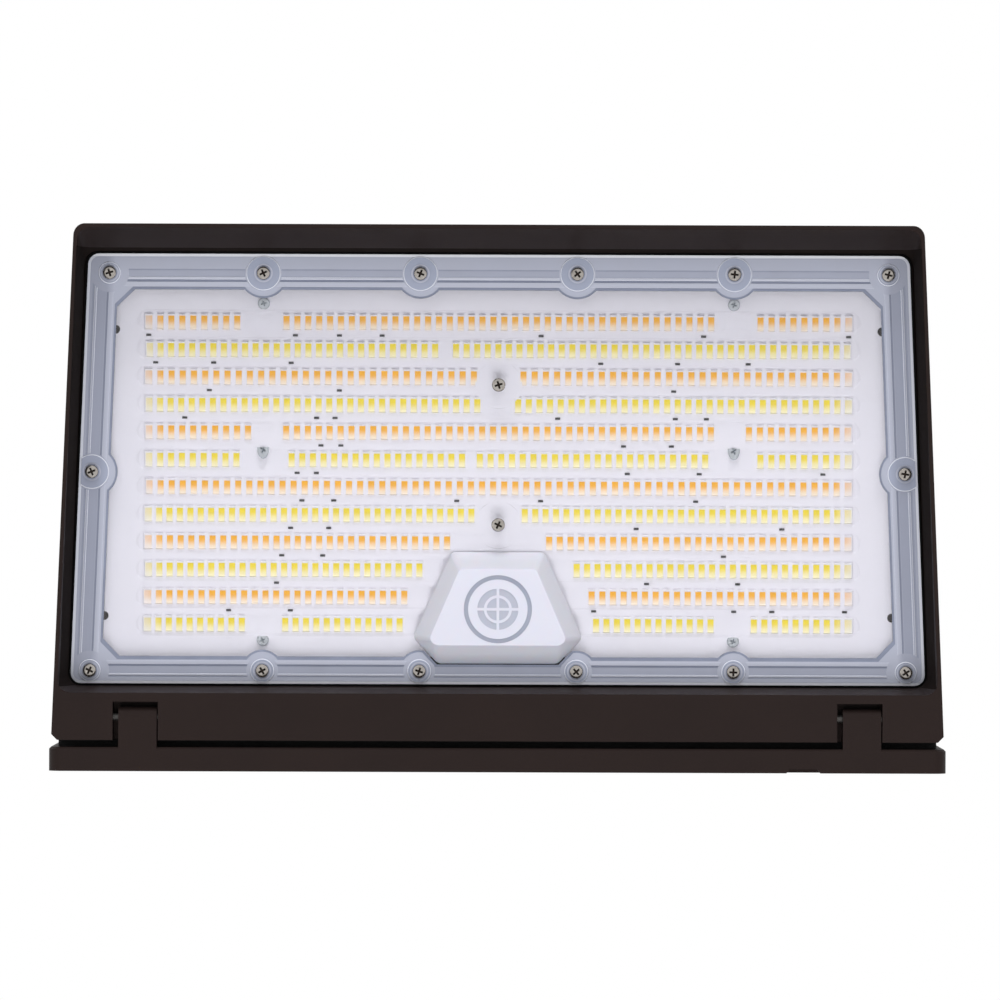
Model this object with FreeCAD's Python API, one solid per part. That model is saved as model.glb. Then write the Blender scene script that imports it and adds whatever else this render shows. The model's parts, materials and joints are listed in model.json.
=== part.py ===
import FreeCAD
import Part
import math
import os

os.makedirs("parts", exist_ok=True)

# Wall pack light in millimetres. X to the right, Y towards the wall, Z up.
# The origin is the centre of the back plate's rear face, which lies on the wall.

# back plate
plateWidth = 356.5
plateHeight = 200.0
plateDepth = 9.5
plateWeb = 3.0
plateRim = 3.5
plateCornerRadius = 5.0
cutPast = 5.0
plateEdgeChamfer = 0.8
plateRibWidth = 2.5
plateRibHeight = 3.0
plateRibSpacing = 70.0
notchX = 121.5
notchWidth = 13.5
notchDepth = 1.6
notchSlope = 1.2
wallScrewSpacingX = 290.0
wallScrewSpacingZ = 120.0
wallScrewHoleRadius = 3.25
wallScrewBossRadius = 8.0
boxScrewSpacing = 88.9
boxSlotLength = 14.0
boxSlotWidth = 5.5
wireHoleRadius = 11.0
wireHoleDrop = 26.0
wireBossRadius = 15.0
wallGasketRadius = 62.0
wallGasketWidth = 7.0
wallGasketThickness = 1.5
grommetBoreRadius = 6.5
grommetLip = 2.5
grommetLipHeight = 1.6
groundScrewX = 34.0
groundScrewZ = -34.0
groundBossRadius = 5.0

# housing outside
sealGap = 2.8
housingDepth = 205.1
housingFrontWidth = 337.6
housingRearWidth = 354.4
housingTopZ = 96.0
frontLean = 23.3
frontWallHeight = 43.0
topFlatDepth = 40.0
roofWall = 3.2
sideWall = 5.0
frontCornerRadius = 4.5
rearCornerCut = 2.4
roofCrestRadius = 40.0
finCount = 15
finPitch = 21.0
finThickness = 2.4
finHeight = 9.0

# light recess and floor
rimWidth = 1.6
recessDepth = 20.0
recessCornerRadius = 5.0
rearLand = 18.8
frontDraft = 8.6
frontSideDraft = 2.0
rearSideDraft = 2.7
rearDraft = 2.2
lensGap = 1.0
floorThickness = 8.0
boardPocketDepth = 4.0
beamWall = 4.0
beamFloor = 12.0
beamBackHeight = 22.0
sealLip = 7.5
throughLip = 5.0

# hinge
hingeInset = 9.2
tabRadius = 4.0
tabWidth = 15.2
tabSpacing = 287.6
tabShift = 0.9
slotWidth = 18.0
slotEndGap = 2.1
slotTopGap = 0.8
pinRadius = 1.5
pinGrip = 8.0
pinRunningGap = 0.06
pinFitGap = 0.02

# housing seal
sealWidth = 5.0
sealInset = 2.2
sealThickness = 2.5
sealLandGrow = 1.0

# closing screws
closingInset = 55.4
closingDrop = 20.0
closingSeatDepth = 44.0
closingSeatWeb = 4.0
closingBossRadius = 9.0
closingHeadRadius = 4.6
closingHeadHeight = 3.6
closingPocketRadius = 6.4
closingWaistRadius = 1.95
closingWaistGap = 0.3
closingThreadRadius = 2.5
closingThreadLength = 24.0
closingReach = 4.5
closingPlateGap = 0.45
closingBoreGap = 0.6
closingPlateBossRadius = 6.5
closingWasherRadius = 5.4
closingWasherThickness = 1.0
closingWasherGap = 0.3

# lens
lensThickness = 2.5
lensCornerRadius = 4.3
flangeFront = 14.4
flangeRear = 11.4
flangeSide = 11.6
windowRise = 0.5
windowCornerCut = 7.0
ridgeInset = 9.0
ridgeWidth = 1.0
ridgeRise = 0.6
seatRadius = 7.0
seatRise = 0.6
seatBite = 9.4
barRise = 1.5
barHeight = 9.4
barReach = 144.8
lensScrewPitch = 62.8
frontCornerScrewInset = 9.2
rearCornerScrewInset = 7.6
sideScrewInset = 5.2
frontScrewInset = 7.7
rearScrewInset = 5.2
sideScrewShare = 0.508
centreScrewFrontShare = 0.303
centreScrewRearInset = 63.8
centreBossRadius = 4.5
lensScrewRadius = 1.5
lensScrewHeadRadius = 2.7
lensScrewHeadHeight = 1.9
screwGrip = 7.0
driveSlotWidth = 0.8
driveSlotDepth = 0.9
threadFit = 0.04
clearFit = 0.25

# lens gasket and thermal pad
gasketThickness = 1.5
gasketOuterInset = 1.5
gasketInnerInset = 10.6
gasketRearRelief = 1.2
padThickness = 0.5
padInset = 2.0

# sensor bay
bayRise = 5.6
bayWall = 1.5
bayTopHalf = 18.5
bayTopInset = 52.9
bayWideHalf = 33.9
bayWideInset = 18.6
bayFootHalf = 24.0
bayFootInset = 8.2
bayFaceTopHalf = 15.3
bayFaceTopInset = 46.2
bayFaceWideHalf = 27.4
bayFaceWideInset = 18.1
bayFaceFootHalf = 25.0
bayFaceFootInset = 15.7
sensorInset = 30.2
sensorRingRadius = 13.6
sensorRingWidth = 1.7
sensorRingDepth = 0.5
sensorFacetRadius = 8.2
sensorFacetDepth = 0.4
sensorFacetCount = 4
sensorFacetGap = 1.1
holderRadius = 12.0
holderWall = 2.0
holderHeight = 2.0
sensorBoardThickness = 1.2
sensorElementRadius = 4.6
sensorElementHeight = 3.2

# LED board
boardThickness = 1.6
boardFrontInset = 13.8
boardRearInset = 10.8
boardSideInset = 12.2
boardCornerRadius = 5.0
pocketGap = 1.0
locatorRadius = 1.5
locatorGap = 0.3
locatorFrontInset = 30.2
locatorRearInset = 27.0
boardScrewX = 94.2
boardScrewFrontInset = 19.7
boardScrewMiddleShare = 0.4625
boardScrewRearInset = 17.4
boardScrewRadius = 1.5
boardScrewHeadRadius = 2.4
boardScrewHeadHeight = 1.2
boardScrewGrip = 3.4

# LEDs and resistors
firstRowInset = 26.9
lastRowInset = 23.8
ledReach = 140.0
ledWidth = 2.8
ledLength = 3.5
ledHeight = 0.7
resistorLength = 2.0
resistorWidth = 0.9
resistorHeight = 0.5
# each row: its white, and its groups as first and last place in shares of the reach, and count
ledRows = [
    {"white": "warm", "groups": [[-0.999, -0.748, 9], [-0.607, 0.607, 40], [0.748, 0.999, 9]]},
    {"white": "cool", "groups": [[-0.997, -0.182, 28], [-0.122, 0.996, 38]]},
    {"white": "warm", "groups": [[-0.999, -0.071, 30], [0.071, 0.999, 30]]},
    {"white": "cool", "groups": [[-0.998, -0.061, 32], [0.056, 0.999, 32]]},
    {"white": "warm", "groups": [[-0.998, -0.716, 10], [-0.607, 0.607, 40], [0.716, 0.998, 10]]},
    {"white": "cool", "groups": [[-0.998, -0.749, 9], [-0.591, -0.104, 17], [-0.053, 0.591, 22], [0.749, 0.999, 9]]},
    {"white": "warm", "groups": [[-0.997, 0.999, 64]]},
    {"white": "cool", "groups": [[-0.999, -0.077, 32], [0.076, 0.999, 32]]},
    {"white": "warm", "groups": [[-0.999, -0.146, 29], [0.146, 0.999, 29]]},
    {"white": "cool", "groups": [[-0.998, -0.225, 27], [0.225, 0.999, 27]]},
    {"white": "warm", "groups": [[-1, -0.268, 25], [0.268, 1, 25]]},
    {"white": "cool", "groups": [[-1, -0.732, 10], [-0.608, -0.281, 12], [0.281, 0.608, 12], [0.732, 1, 10]]},
]
# resistor places in shares of the reach, one list for each space below a row
resistorPlaces = [
    [-1.002, -0.582, -0.456, -0.334, 0.121, 0.586, 1.001],
    [-0.982, -0.816, -0.594, 0.292, 0.512, 0.714],
    [-0.828, -0.456, 0.501],
    [-0.898, -0.521, -0.468, 0.169, 0.506, 0.595],
    [-0.508, -0.451, 0.358, 0.495],
    [-0.576, -0.521, 0.369, 0.575, 0.929],
    [-0.562, -0.471, -0.119, 0.121, 0.565],
    [-0.594, -0.485, 0.395, 0.812],
    [-0.619, -0.502, 0.645],
    [-0.634, 0.425, 0.686],
    [-0.771, -0.594, 0.274, 0.675, 0.784, 0.992],
]

# driver and what is on it
driverSideGap = 80.2
driverWidth = 66.0
driverHeight = 36.0
driverRearY = -62.0
driverCornerRadius = 3.0
capThickness = 4.0
footLength = 12.0
footWidth = 14.0
footThickness = 3.0
footInset = 12.0
footBossHeight = 6.0
footBossRadius = 5.0
driverScrewRadius = 2.0
driverScrewHeadRadius = 3.6
driverScrewHeadHeight = 2.2
switchLength = 26.0
switchDepth = 6.0
switchHeight = 10.0
switchSpacing = 90.0
switchZ = -45.0
knobLength = 5.0
knobHeight = 3.0
knobReach = 4.0
switchTravel = 4.0
switchGap = 0.25

# surge protector, terminal block and leads
surgeLength = 40.0
surgeWidth = 30.0
surgeHeight = 20.0
surgeInset = 36.7
surgeRearY = -108.0
terminalPitch = 11.0
terminalPoles = 3
terminalDepth = 20.0
terminalHeight = 16.0
terminalInset = 52.2
terminalRearY = -38.0
terminalHoleRadius = 2.2
terminalScrewRadius = 2.0
terminalScrewHeight = 1.4
leadRadius = 2.5
leadOffsetY = 33.0
supplyLeadRise = 9.6
lightLeadRise = 27.0
connectorInset = 17.6
connectorLength = 12.0
connectorWidth = 8.0
connectorHeight = 6.0
connectorHoleRadius = 9.0

# worked out from the sizes above
rimZ = -plateHeight / 2.0
lensZ = rimZ + recessDepth
lensTopZ = lensZ + lensThickness
floorZ = lensTopZ + gasketThickness
floorTopZ = floorZ + floorThickness
pocketZ = floorZ + boardPocketDepth
boardTopZ = pocketZ - padThickness
boardZ = boardTopZ - boardThickness
windowZ = lensZ - windowRise
housingRearY = -(plateDepth + sealGap)
housingFrontY = housingRearY - housingDepth
rimFrontY = housingFrontY + rimWidth
rimRearY = housingRearY - rearLand
lensFrontY = rimFrontY + frontDraft + lensGap
lensRearY = rimRearY - rearDraft - lensGap
lean = math.radians(frontLean)
hingeY = housingRearY - hingeInset
hingeZ = rimZ + tabRadius
closingSeatY = housingRearY - closingSeatDepth
closingTipY = -plateDepth + closingReach
closingZ = plateHeight / 2.0 - closingDrop
lensDepth = lensRearY - lensFrontY
rowFrontY = lensFrontY + firstRowInset
rowPitch = (lensRearY - lastRowInset - rowFrontY) / (len(ledRows) - 1)
sensorY = lensRearY - sensorInset
driverFrontY = driverRearY - driverWidth
driverTopZ = floorTopZ + driverHeight
leadY = driverRearY - leadOffsetY


def housingHalf(y):
    share = (y - housingFrontY) / housingDepth
    return (housingFrontWidth + share * (housingRearWidth - housingFrontWidth)) / 2.0


def lensHalf(y):
    share = (y - lensFrontY) / lensDepth
    draft = frontSideDraft + share * (rearSideDraft - frontSideDraft)
    return housingHalf(y) - rimWidth - draft - lensGap


connectorX = lensHalf(leadY) - boardSideInset - connectorInset
surgeX = housingHalf(surgeRearY) - surgeInset
terminalX = -(housingHalf(terminalRearY) - terminalInset)
driverLength = 2.0 * (housingHalf(driverRearY) - driverSideGap)
closingSpacing = 2.0 * (housingHalf(closingSeatY) - closingInset)


def box(x0, x1, y0, y1, z0, z1):
    corner = FreeCAD.Vector(min(x0, x1), min(y0, y1), min(z0, z1))
    return Part.makeBox(abs(x1 - x0), abs(y1 - y0), abs(z1 - z0), corner)


def rod(radius, start, end):
    along = end - start
    return Part.makeCylinder(radius, along.Length, start, along)


def upright(x, y, z0, z1, radius):
    return rod(radius, FreeCAD.Vector(x, y, z0), FreeCAD.Vector(x, y, z1))


def lying(x, z, y0, y1, radius):
    return rod(radius, FreeCAD.Vector(x, y0, z), FreeCAD.Vector(x, y1, z))


def roundedWire(corners, radii):
    edges = []
    joins = []
    count = len(corners)
    for i in range(count):
        here = corners[i]
        before = (corners[i - 1] - here).normalize()
        after = (corners[(i + 1) % count] - here).normalize()
        half = before.getAngle(after) / 2.0
        reach = radii[i] / math.tan(half)
        middle = (before + after).normalize()
        centre = here + middle * (radii[i] / math.sin(half))
        joins.append([here + before * reach, centre - middle * radii[i], here + after * reach])
    for i in range(count):
        start, bend, end = joins[i]
        edges.append(Part.Arc(start, bend, end).toShape())
        edges.append(Part.LineSegment(end, joins[(i + 1) % count][0]).toShape())
    return Part.Wire(edges)


def outline(frontHalf, rearHalf, frontY, rearY, z, frontRadius, rearRadius):
    corners = [
        FreeCAD.Vector(-frontHalf, frontY, z),
        FreeCAD.Vector(frontHalf, frontY, z),
        FreeCAD.Vector(rearHalf, rearY, z),
        FreeCAD.Vector(-rearHalf, rearY, z),
    ]
    return roundedWire(corners, [frontRadius, frontRadius, rearRadius, rearRadius])


def lensOutline(inset, z, radius, frontExtra=0.0, rearExtra=0.0):
    frontY = lensFrontY + inset + frontExtra
    rearY = lensRearY - inset - rearExtra
    return outline(lensHalf(frontY) - inset, lensHalf(rearY) - inset, frontY, rearY, z, radius, radius)


def prism(wire, height):
    return Part.Face(wire).extrude(FreeCAD.Vector(0, 0, height))


def polygonPrism(points, height):
    return prism(Part.makePolygon(points + [points[0]]), height)


def profilePrism(edges, halfLength):
    face = Part.Face(Part.Wire(edges))
    face.translate(FreeCAD.Vector(-halfLength, 0, 0))
    return face.extrude(FreeCAD.Vector(2.0 * halfLength, 0, 0))


def roofArc(inset, endZ):
    upY = housingFrontY + frontWallHeight * math.tan(lean)
    start = FreeCAD.Vector(0, upY, rimZ + frontWallHeight)
    inward = FreeCAD.Vector(0, math.cos(lean), -math.sin(lean))
    top = FreeCAD.Vector(0, housingRearY - topFlatDepth, housingTopZ)
    chord = top - start
    radius = chord.dot(chord) / (2.0 * chord.dot(inward))
    centre = start + inward * radius
    reach = radius - inset
    endY = centre.y - math.sqrt(reach ** 2 - (endZ - centre.z) ** 2)
    first = centre - inward * reach
    last = FreeCAD.Vector(0, endY, endZ)
    middle = centre + ((first - centre) + (last - centre)).normalize() * reach
    return first, middle, last


def line(a, b):
    return Part.LineSegment(a, b).toShape()


def flat(y, z):
    return FreeCAD.Vector(0, y, z)


def housingOutside():
    start, middle, end = roofArc(0.0, housingTopZ)
    edges = [
        line(flat(housingRearY, rimZ), flat(housingFrontY, rimZ)),
        line(flat(housingFrontY, rimZ), start),
        Part.Arc(start, middle, end).toShape(),
        line(end, flat(housingRearY, housingTopZ)),
        line(flat(housingRearY, housingTopZ), flat(housingRearY, rimZ)),
    ]
    side = profilePrism(edges, housingRearWidth)
    front = housingFrontWidth / 2.0
    rear = housingRearWidth / 2.0
    plan = [
        FreeCAD.Vector(-front, housingFrontY, rimZ),
        FreeCAD.Vector(front, housingFrontY, rimZ),
        FreeCAD.Vector(rear, housingRearY, rimZ),
        FreeCAD.Vector(-rear, housingRearY, rimZ),
    ]
    body = side.common(polygonPrism(plan, housingTopZ - rimZ))
    body = body.makeFillet(roofCrestRadius, crestEdges(body))
    body = body.makeFillet(frontCornerRadius, sideEdges(body))
    return body.cut(rearCornerCuts())


def crestEdges(body):
    edges = []
    for edge in body.Edges:
        bounds = edge.BoundBox
        across = bounds.XLength > housingFrontWidth / 2.0
        if across and bounds.ZMin > housingTopZ - 1.0 and bounds.YMax < housingRearY - 1.0:
            edges.append(edge)
    return edges


def sideEdges(body):
    edges = []
    for edge in body.Edges:
        bounds = edge.BoundBox
        alongSide = bounds.XLength < housingFrontWidth / 4.0 and bounds.YLength > 1.0
        if alongSide and bounds.ZMax > rimZ + 1.0 and bounds.YMin < housingRearY - 1.0:
            edges.append(edge)
    return edges


def rearCornerCuts():
    cuts = []
    rear = housingRearWidth / 2.0
    for side in [-1, 1]:
        corner = [
            FreeCAD.Vector(side * (rear + 1.0), housingRearY - rearCornerCut - 1.0, rimZ - 1.0),
            FreeCAD.Vector(side * (rear + 1.0), housingRearY + 1.0, rimZ - 1.0),
            FreeCAD.Vector(side * (rear - rearCornerCut - 1.0), housingRearY + 1.0, rimZ - 1.0),
        ]
        cuts.append(polygonPrism(corner, plateHeight))
    return cuts


def driverCavity():
    frontY = housingFrontY + roofWall / math.cos(lean) + (floorTopZ - rimZ) * math.tan(lean)
    start, middle, end = roofArc(roofWall, housingTopZ - roofWall)
    lipY = housingRearY - throughLip
    beamRearY = housingRearY - beamWall
    beamFrontY = rimRearY + beamWall * 0.7
    openY = housingRearY + 1.0
    points = [
        end,
        flat(lipY, housingTopZ - roofWall),
        flat(lipY, housingTopZ - sealLip),
        flat(openY, housingTopZ - sealLip),
        flat(openY, rimZ + beamBackHeight),
        flat(beamRearY, rimZ + beamBackHeight),
        flat(beamRearY, rimZ + beamFloor),
        flat(beamFrontY, rimZ + beamFloor),
        flat(beamFrontY, floorTopZ),
        flat(frontY, floorTopZ),
        start,
    ]
    edges = [Part.Arc(start, middle, end).toShape()]
    for i in range(len(points) - 1):
        edges.append(line(points[i], points[i + 1]))
    side = profilePrism(edges, housingRearWidth)
    plan = outline(
        housingFrontWidth / 2.0 - sideWall, housingRearWidth / 2.0 - sideWall,
        housingFrontY, openY, rimZ, frontCornerRadius, frontCornerRadius)
    return side.common(prism(plan, plateHeight))


def lightRecess():
    rimFrontHalf = housingHalf(rimFrontY) - rimWidth
    rimRearHalf = housingHalf(rimRearY) - rimWidth
    mouth = outline(
        rimFrontHalf, rimRearHalf, rimFrontY, rimRearY, rimZ, recessCornerRadius, recessCornerRadius)
    inner = lensOutline(-lensGap, lensZ, lensCornerRadius + lensGap)
    taper = Part.makeLoft([mouth, inner], True, True)
    return taper.fuse(prism(inner, floorZ - lensZ))


def boardOutline(grow, z):
    return lensOutline(
        boardSideInset - grow, z, boardCornerRadius, boardFrontInset - boardSideInset,
        boardRearInset - boardSideInset)


def boardEdgeHalf(y):
    return lensHalf(y) - boardSideInset


def locatorPlaces():
    places = []
    for y in [lensFrontY + locatorFrontInset, lensRearY - locatorRearInset]:
        for side in [-1, 1]:
            places.append([side * boardEdgeHalf(y), y])
    return places


def edgeScrewPlaces():
    frontY = lensFrontY + frontScrewInset
    rearY = lensRearY - rearScrewInset
    middleY = lensFrontY + sideScrewShare * lensDepth
    places = []
    for side in [-1, 1]:
        places.append([side * (lensHalf(frontY) - frontCornerScrewInset), frontY])
        places.append([side * (lensHalf(rearY) - rearCornerScrewInset), rearY])
        places.append([side * (lensHalf(middleY) - sideScrewInset), middleY])
        for y in [frontY, rearY]:
            places.append([side * lensScrewPitch / 2.0, y])
            places.append([side * lensScrewPitch * 1.5, y])
    return places


def centreScrewPlaces():
    return [[0.0, lensFrontY + centreScrewFrontShare * lensDepth], [0.0, lensRearY - centreScrewRearInset]]


def boardScrewPlaces():
    places = []
    frontY = lensFrontY + boardScrewFrontInset
    middleY = lensFrontY + boardScrewMiddleShare * lensDepth
    rearY = lensRearY - boardScrewRearInset
    for y in [frontY, middleY, rearY]:
        for side in [-1, 1]:
            places.append([side * boardScrewX, y])
    return places


def footPlaces():
    places = []
    for side in [-1, 1]:
        x = side * (driverLength / 2.0 + capThickness + footLength / 2.0)
        places.append([x, driverFrontY + footInset])
        places.append([x, driverRearY - footInset])
    return places


def tabCentres():
    return [-tabSpacing / 2.0, tabSpacing / 2.0]


def closingPlaces():
    return [-closingSpacing / 2.0, closingSpacing / 2.0]


def roofFins():
    low, inside, high = roofArc(roofWall / 2.0, housingTopZ - roofWall / 2.0)
    crown = roofArc(-finHeight, housingTopZ)[1]
    outer = Part.Arc(low, crown, high).toShape()
    inner = Part.Arc(low, inside, high).toShape()
    face = Part.Face(Part.Wire([outer, inner]))
    fins = []
    for i in range(finCount):
        x = (i - (finCount - 1) / 2.0) * finPitch
        fin = face.extrude(FreeCAD.Vector(finThickness, 0, 0))
        fin.translate(FreeCAD.Vector(x - finThickness / 2.0, 0, 0))
        fins.append(fin)
    return fins


def hingeSlots():
    cuts = []
    for x in tabCentres():
        frontY = hingeY - tabRadius - slotEndGap
        topZ = hingeZ + tabRadius + slotTopGap
        cuts.append(box(
            x - slotWidth / 2.0, x + slotWidth / 2.0, frontY, housingRearY + 1.0, rimZ - 1.0, topZ))
        reach = slotWidth / 2.0 + pinGrip
        cuts.append(rod(
            pinRadius + pinFitGap, FreeCAD.Vector(x - reach, hingeY, hingeZ),
            FreeCAD.Vector(x + reach, hingeY, hingeZ)))
    return cuts


def closingBoss(x):
    return lying(x, closingZ, housingFrontY, housingRearY, closingBossRadius)


def closingCuts(x):
    pocket = lying(x, closingZ, housingFrontY - 1.0, closingSeatY, closingPocketRadius)
    waist = lying(x, closingZ, closingSeatY - 1.0, housingRearY, closingWaistRadius + closingWaistGap)
    bore = lying(
        x, closingZ, closingSeatY + closingSeatWeb, housingRearY + 1.0,
        closingThreadRadius + closingBoreGap)
    return [pocket, waist, bore]


def makeHousing():
    outside = housingOutside()
    body = outside.cut([driverCavity(), lightRecess()])
    additions = roofFins()
    for x in closingPlaces():
        additions.append(closingBoss(x).common(outside))
    for x, y in footPlaces():
        additions.append(upright(x, y, floorTopZ - 1.0, floorTopZ + footBossHeight, footBossRadius))
    body = body.multiFuse(additions)
    cuts = [prism(boardOutline(pocketGap, floorZ - 1.0), boardPocketDepth + 1.0)]
    for x in closingPlaces():
        cuts.extend(closingCuts(x))
    cuts.extend(hingeSlots())
    for x, y in edgeScrewPlaces():
        cuts.append(upright(x, y, floorZ - 1.0, floorZ + screwGrip, lensScrewRadius + threadFit))
    for x, y in boardScrewPlaces():
        cuts.append(upright(x, y, pocketZ - 1.0, pocketZ + boardScrewGrip, boardScrewRadius + threadFit))
    for x, y in centreScrewPlaces():
        cuts.append(upright(x, y, pocketZ - 1.0, pocketZ + boardScrewGrip, lensScrewRadius + threadFit))
    for x, y in footPlaces():
        cuts.append(upright(
            x, y, floorTopZ, floorTopZ + footBossHeight + 1.0, driverScrewRadius + threadFit))
    cuts.append(upright(connectorX, leadY, pocketZ - 1.0, floorTopZ + 1.0, connectorHoleRadius))
    body = body.cut(cuts)
    locators = []
    for x, y in locatorPlaces():
        locators.append(upright(x, y, boardZ, pocketZ + 0.5, locatorRadius))
    return body.multiFuse(locators).removeSplitter()


def slotPrism(x, z, length, width, y0, y1):
    reach = (length - width) / 2.0
    middle = box(x - reach, x + reach, y0, y1, z - width / 2.0, z + width / 2.0)
    ends = [lying(x - reach, z, y0, y1, width / 2.0), lying(x + reach, z, y0, y1, width / 2.0)]
    return middle.multiFuse(ends)


def plateTray():
    halfWidth = plateWidth / 2.0
    halfHeight = plateHeight / 2.0
    corners = []
    for x, z in [(-halfWidth, -halfHeight), (halfWidth, -halfHeight),
                 (halfWidth, halfHeight), (-halfWidth, halfHeight)]:
        corners.append(FreeCAD.Vector(x, 0, z))
    solid = Part.Face(roundedWire(corners, [plateCornerRadius] * 4))
    solid = solid.extrude(FreeCAD.Vector(0, -plateDepth, 0))
    frontEdges = []
    for edge in solid.Edges:
        bounds = edge.BoundBox
        if bounds.YMax < -plateDepth + 0.01:
            frontEdges.append(edge)
    solid = solid.makeChamfer(plateEdgeChamfer, frontEdges)
    inner = []
    for corner in corners:
        inner.append(FreeCAD.Vector(
            math.copysign(halfWidth - plateRim, corner.x), -plateWeb,
            math.copysign(halfHeight - plateRim, corner.z)))
    hollow = Part.Face(roundedWire(inner, [plateCornerRadius] * 4))
    return solid.cut(hollow.extrude(FreeCAD.Vector(0, -plateDepth, 0)))


def plateRibs():
    ribs = []
    ribFront = -plateWeb - plateRibHeight
    halfHeight = plateHeight / 2.0 - plateRim
    halfWidth = plateWidth / 2.0 - plateRim
    for step in [-2, -1, 1, 2]:
        x = step * plateRibSpacing
        ribs.append(box(
            x - plateRibWidth / 2.0, x + plateRibWidth / 2.0, ribFront, -plateWeb,
            -halfHeight, halfHeight))
    for z in [-plateRibSpacing * 0.65, plateRibSpacing * 0.65]:
        ribs.append(box(
            -halfWidth, halfWidth, ribFront, -plateWeb, z - plateRibWidth / 2.0,
            z + plateRibWidth / 2.0))
    return ribs


def plateTabs():
    tabs = []
    for x in tabCentres():
        x0 = x + tabShift - tabWidth / 2.0
        x1 = x + tabShift + tabWidth / 2.0
        slab = box(x0, x1, -plateWeb, hingeY, hingeZ - tabRadius, hingeZ + tabRadius)
        nose = rod(tabRadius, FreeCAD.Vector(x0, hingeY, hingeZ), FreeCAD.Vector(x1, hingeY, hingeZ))
        bore = rod(
            pinRadius + pinRunningGap, FreeCAD.Vector(x0 - 1.0, hingeY, hingeZ),
            FreeCAD.Vector(x1 + 1.0, hingeY, hingeZ))
        tabs.append(slab.fuse(nose).cut(bore))
    return tabs


def drainNotch():
    halfBase = notchWidth / 2.0
    halfTop = halfBase - notchSlope
    base = rimZ - 1.0
    points = [
        FreeCAD.Vector(notchX - halfBase, 0.0, base),
        FreeCAD.Vector(notchX + halfBase, 0.0, base),
        FreeCAD.Vector(notchX + halfTop, -notchDepth, base),
        FreeCAD.Vector(notchX - halfTop, -notchDepth, base),
    ]
    return polygonPrism(points, plateRim + cutPast)


def wallScrewPlaces():
    places = []
    for x in [-wallScrewSpacingX / 2.0, wallScrewSpacingX / 2.0]:
        for z in [-wallScrewSpacingZ / 2.0, wallScrewSpacingZ / 2.0]:
            places.append([x, z])
    return places


def makeBackPlate():
    additions = plateRibs() + plateTabs() + [sealRing(sealLandGrow, -plateDepth, -plateWeb)]
    for x, z in wallScrewPlaces():
        additions.append(lying(x, z, -plateWeb - plateRibHeight, -plateWeb, wallScrewBossRadius))
    additions.append(lying(0, -wireHoleDrop, -plateWeb - plateRibHeight, -plateWeb, wireBossRadius))
    additions.append(lying(
        groundScrewX, groundScrewZ, -plateWeb - plateRibHeight, -plateWeb, groundBossRadius))
    for x in closingPlaces():
        additions.append(lying(x, closingZ, -plateDepth, -plateWeb, closingPlateBossRadius))
    body = plateTray().multiFuse(additions)
    cuts = [drainNotch()]
    for x, z in wallScrewPlaces():
        cuts.append(lying(x, z, -plateDepth, 1.0, wallScrewHoleRadius))
    for side in [-1, 1]:
        cuts.append(slotPrism(
            side * boxScrewSpacing / 2.0, 0.0, boxSlotLength, boxSlotWidth, -plateDepth, 1.0))
    cuts.append(lying(0, -wireHoleDrop, -plateDepth, 1.0, wireHoleRadius))
    cuts.append(lying(
        groundScrewX, groundScrewZ, -plateDepth, -plateWeb, lensScrewRadius + threadFit))
    for x in closingPlaces():
        cuts.append(lying(
            x, closingZ, -plateDepth - 1.0, closingTipY + 1.0, closingThreadRadius + closingPlateGap))
    outer = lying(0, 0, -wallGasketThickness, 1.0, wallGasketRadius)
    inner = lying(0, 0, -wallGasketThickness, 1.0, wallGasketRadius - wallGasketWidth)
    cuts.append(outer.cut(inner))
    return body.cut(cuts).removeSplitter()


def makeWallGasket():
    outer = lying(0, 0, -wallGasketThickness, 0.0, wallGasketRadius - clearFit)
    inner = lying(0, 0, -wallGasketThickness, 0.0, wallGasketRadius - wallGasketWidth + clearFit)
    return outer.cut(inner)


def makeGrommet():
    front = -plateWeb - plateRibHeight
    z = -wireHoleDrop
    sleeve = lying(0, z, front - grommetLipHeight, 0.0, wireHoleRadius)
    lip = lying(0, z, front - grommetLipHeight, front, wireHoleRadius + grommetLip)
    bore = lying(0, z, front - grommetLipHeight - 1.0, 1.0, grommetBoreRadius)
    return sleeve.fuse(lip).cut(bore).removeSplitter()


def crossDrive(x, y, z, headRadius):
    reach = headRadius * 0.62
    across = box(
        x - reach, x + reach, y - driveSlotWidth / 2.0, y + driveSlotWidth / 2.0, z, z + driveSlotDepth)
    along = box(
        x - driveSlotWidth / 2.0, x + driveSlotWidth / 2.0, y - reach, y + reach, z, z + driveSlotDepth)
    return across.fuse(along)


def upScrew(x, y, headZ, tipZ, radius, headRadius, headHeight):
    shank = upright(x, y, headZ, tipZ, radius)
    head = upright(x, y, headZ - headHeight, headZ, headRadius)
    rimEdges = []
    for edge in head.Edges:
        if edge.BoundBox.ZMax < headZ - headHeight + 0.01:
            rimEdges.append(edge)
    head = head.makeFillet(headHeight * 0.45, rimEdges)
    return shank.fuse(head).cut(crossDrive(x, y, headZ - headHeight, headRadius)).removeSplitter()


def downScrew(x, y, headZ, tipZ, radius, headRadius, headHeight):
    shank = upright(x, y, tipZ, headZ, radius)
    head = upright(x, y, headZ, headZ + headHeight, headRadius)
    top = headZ + headHeight - driveSlotDepth
    return shank.fuse(head).cut(crossDrive(x, y, top, headRadius)).removeSplitter()


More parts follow.
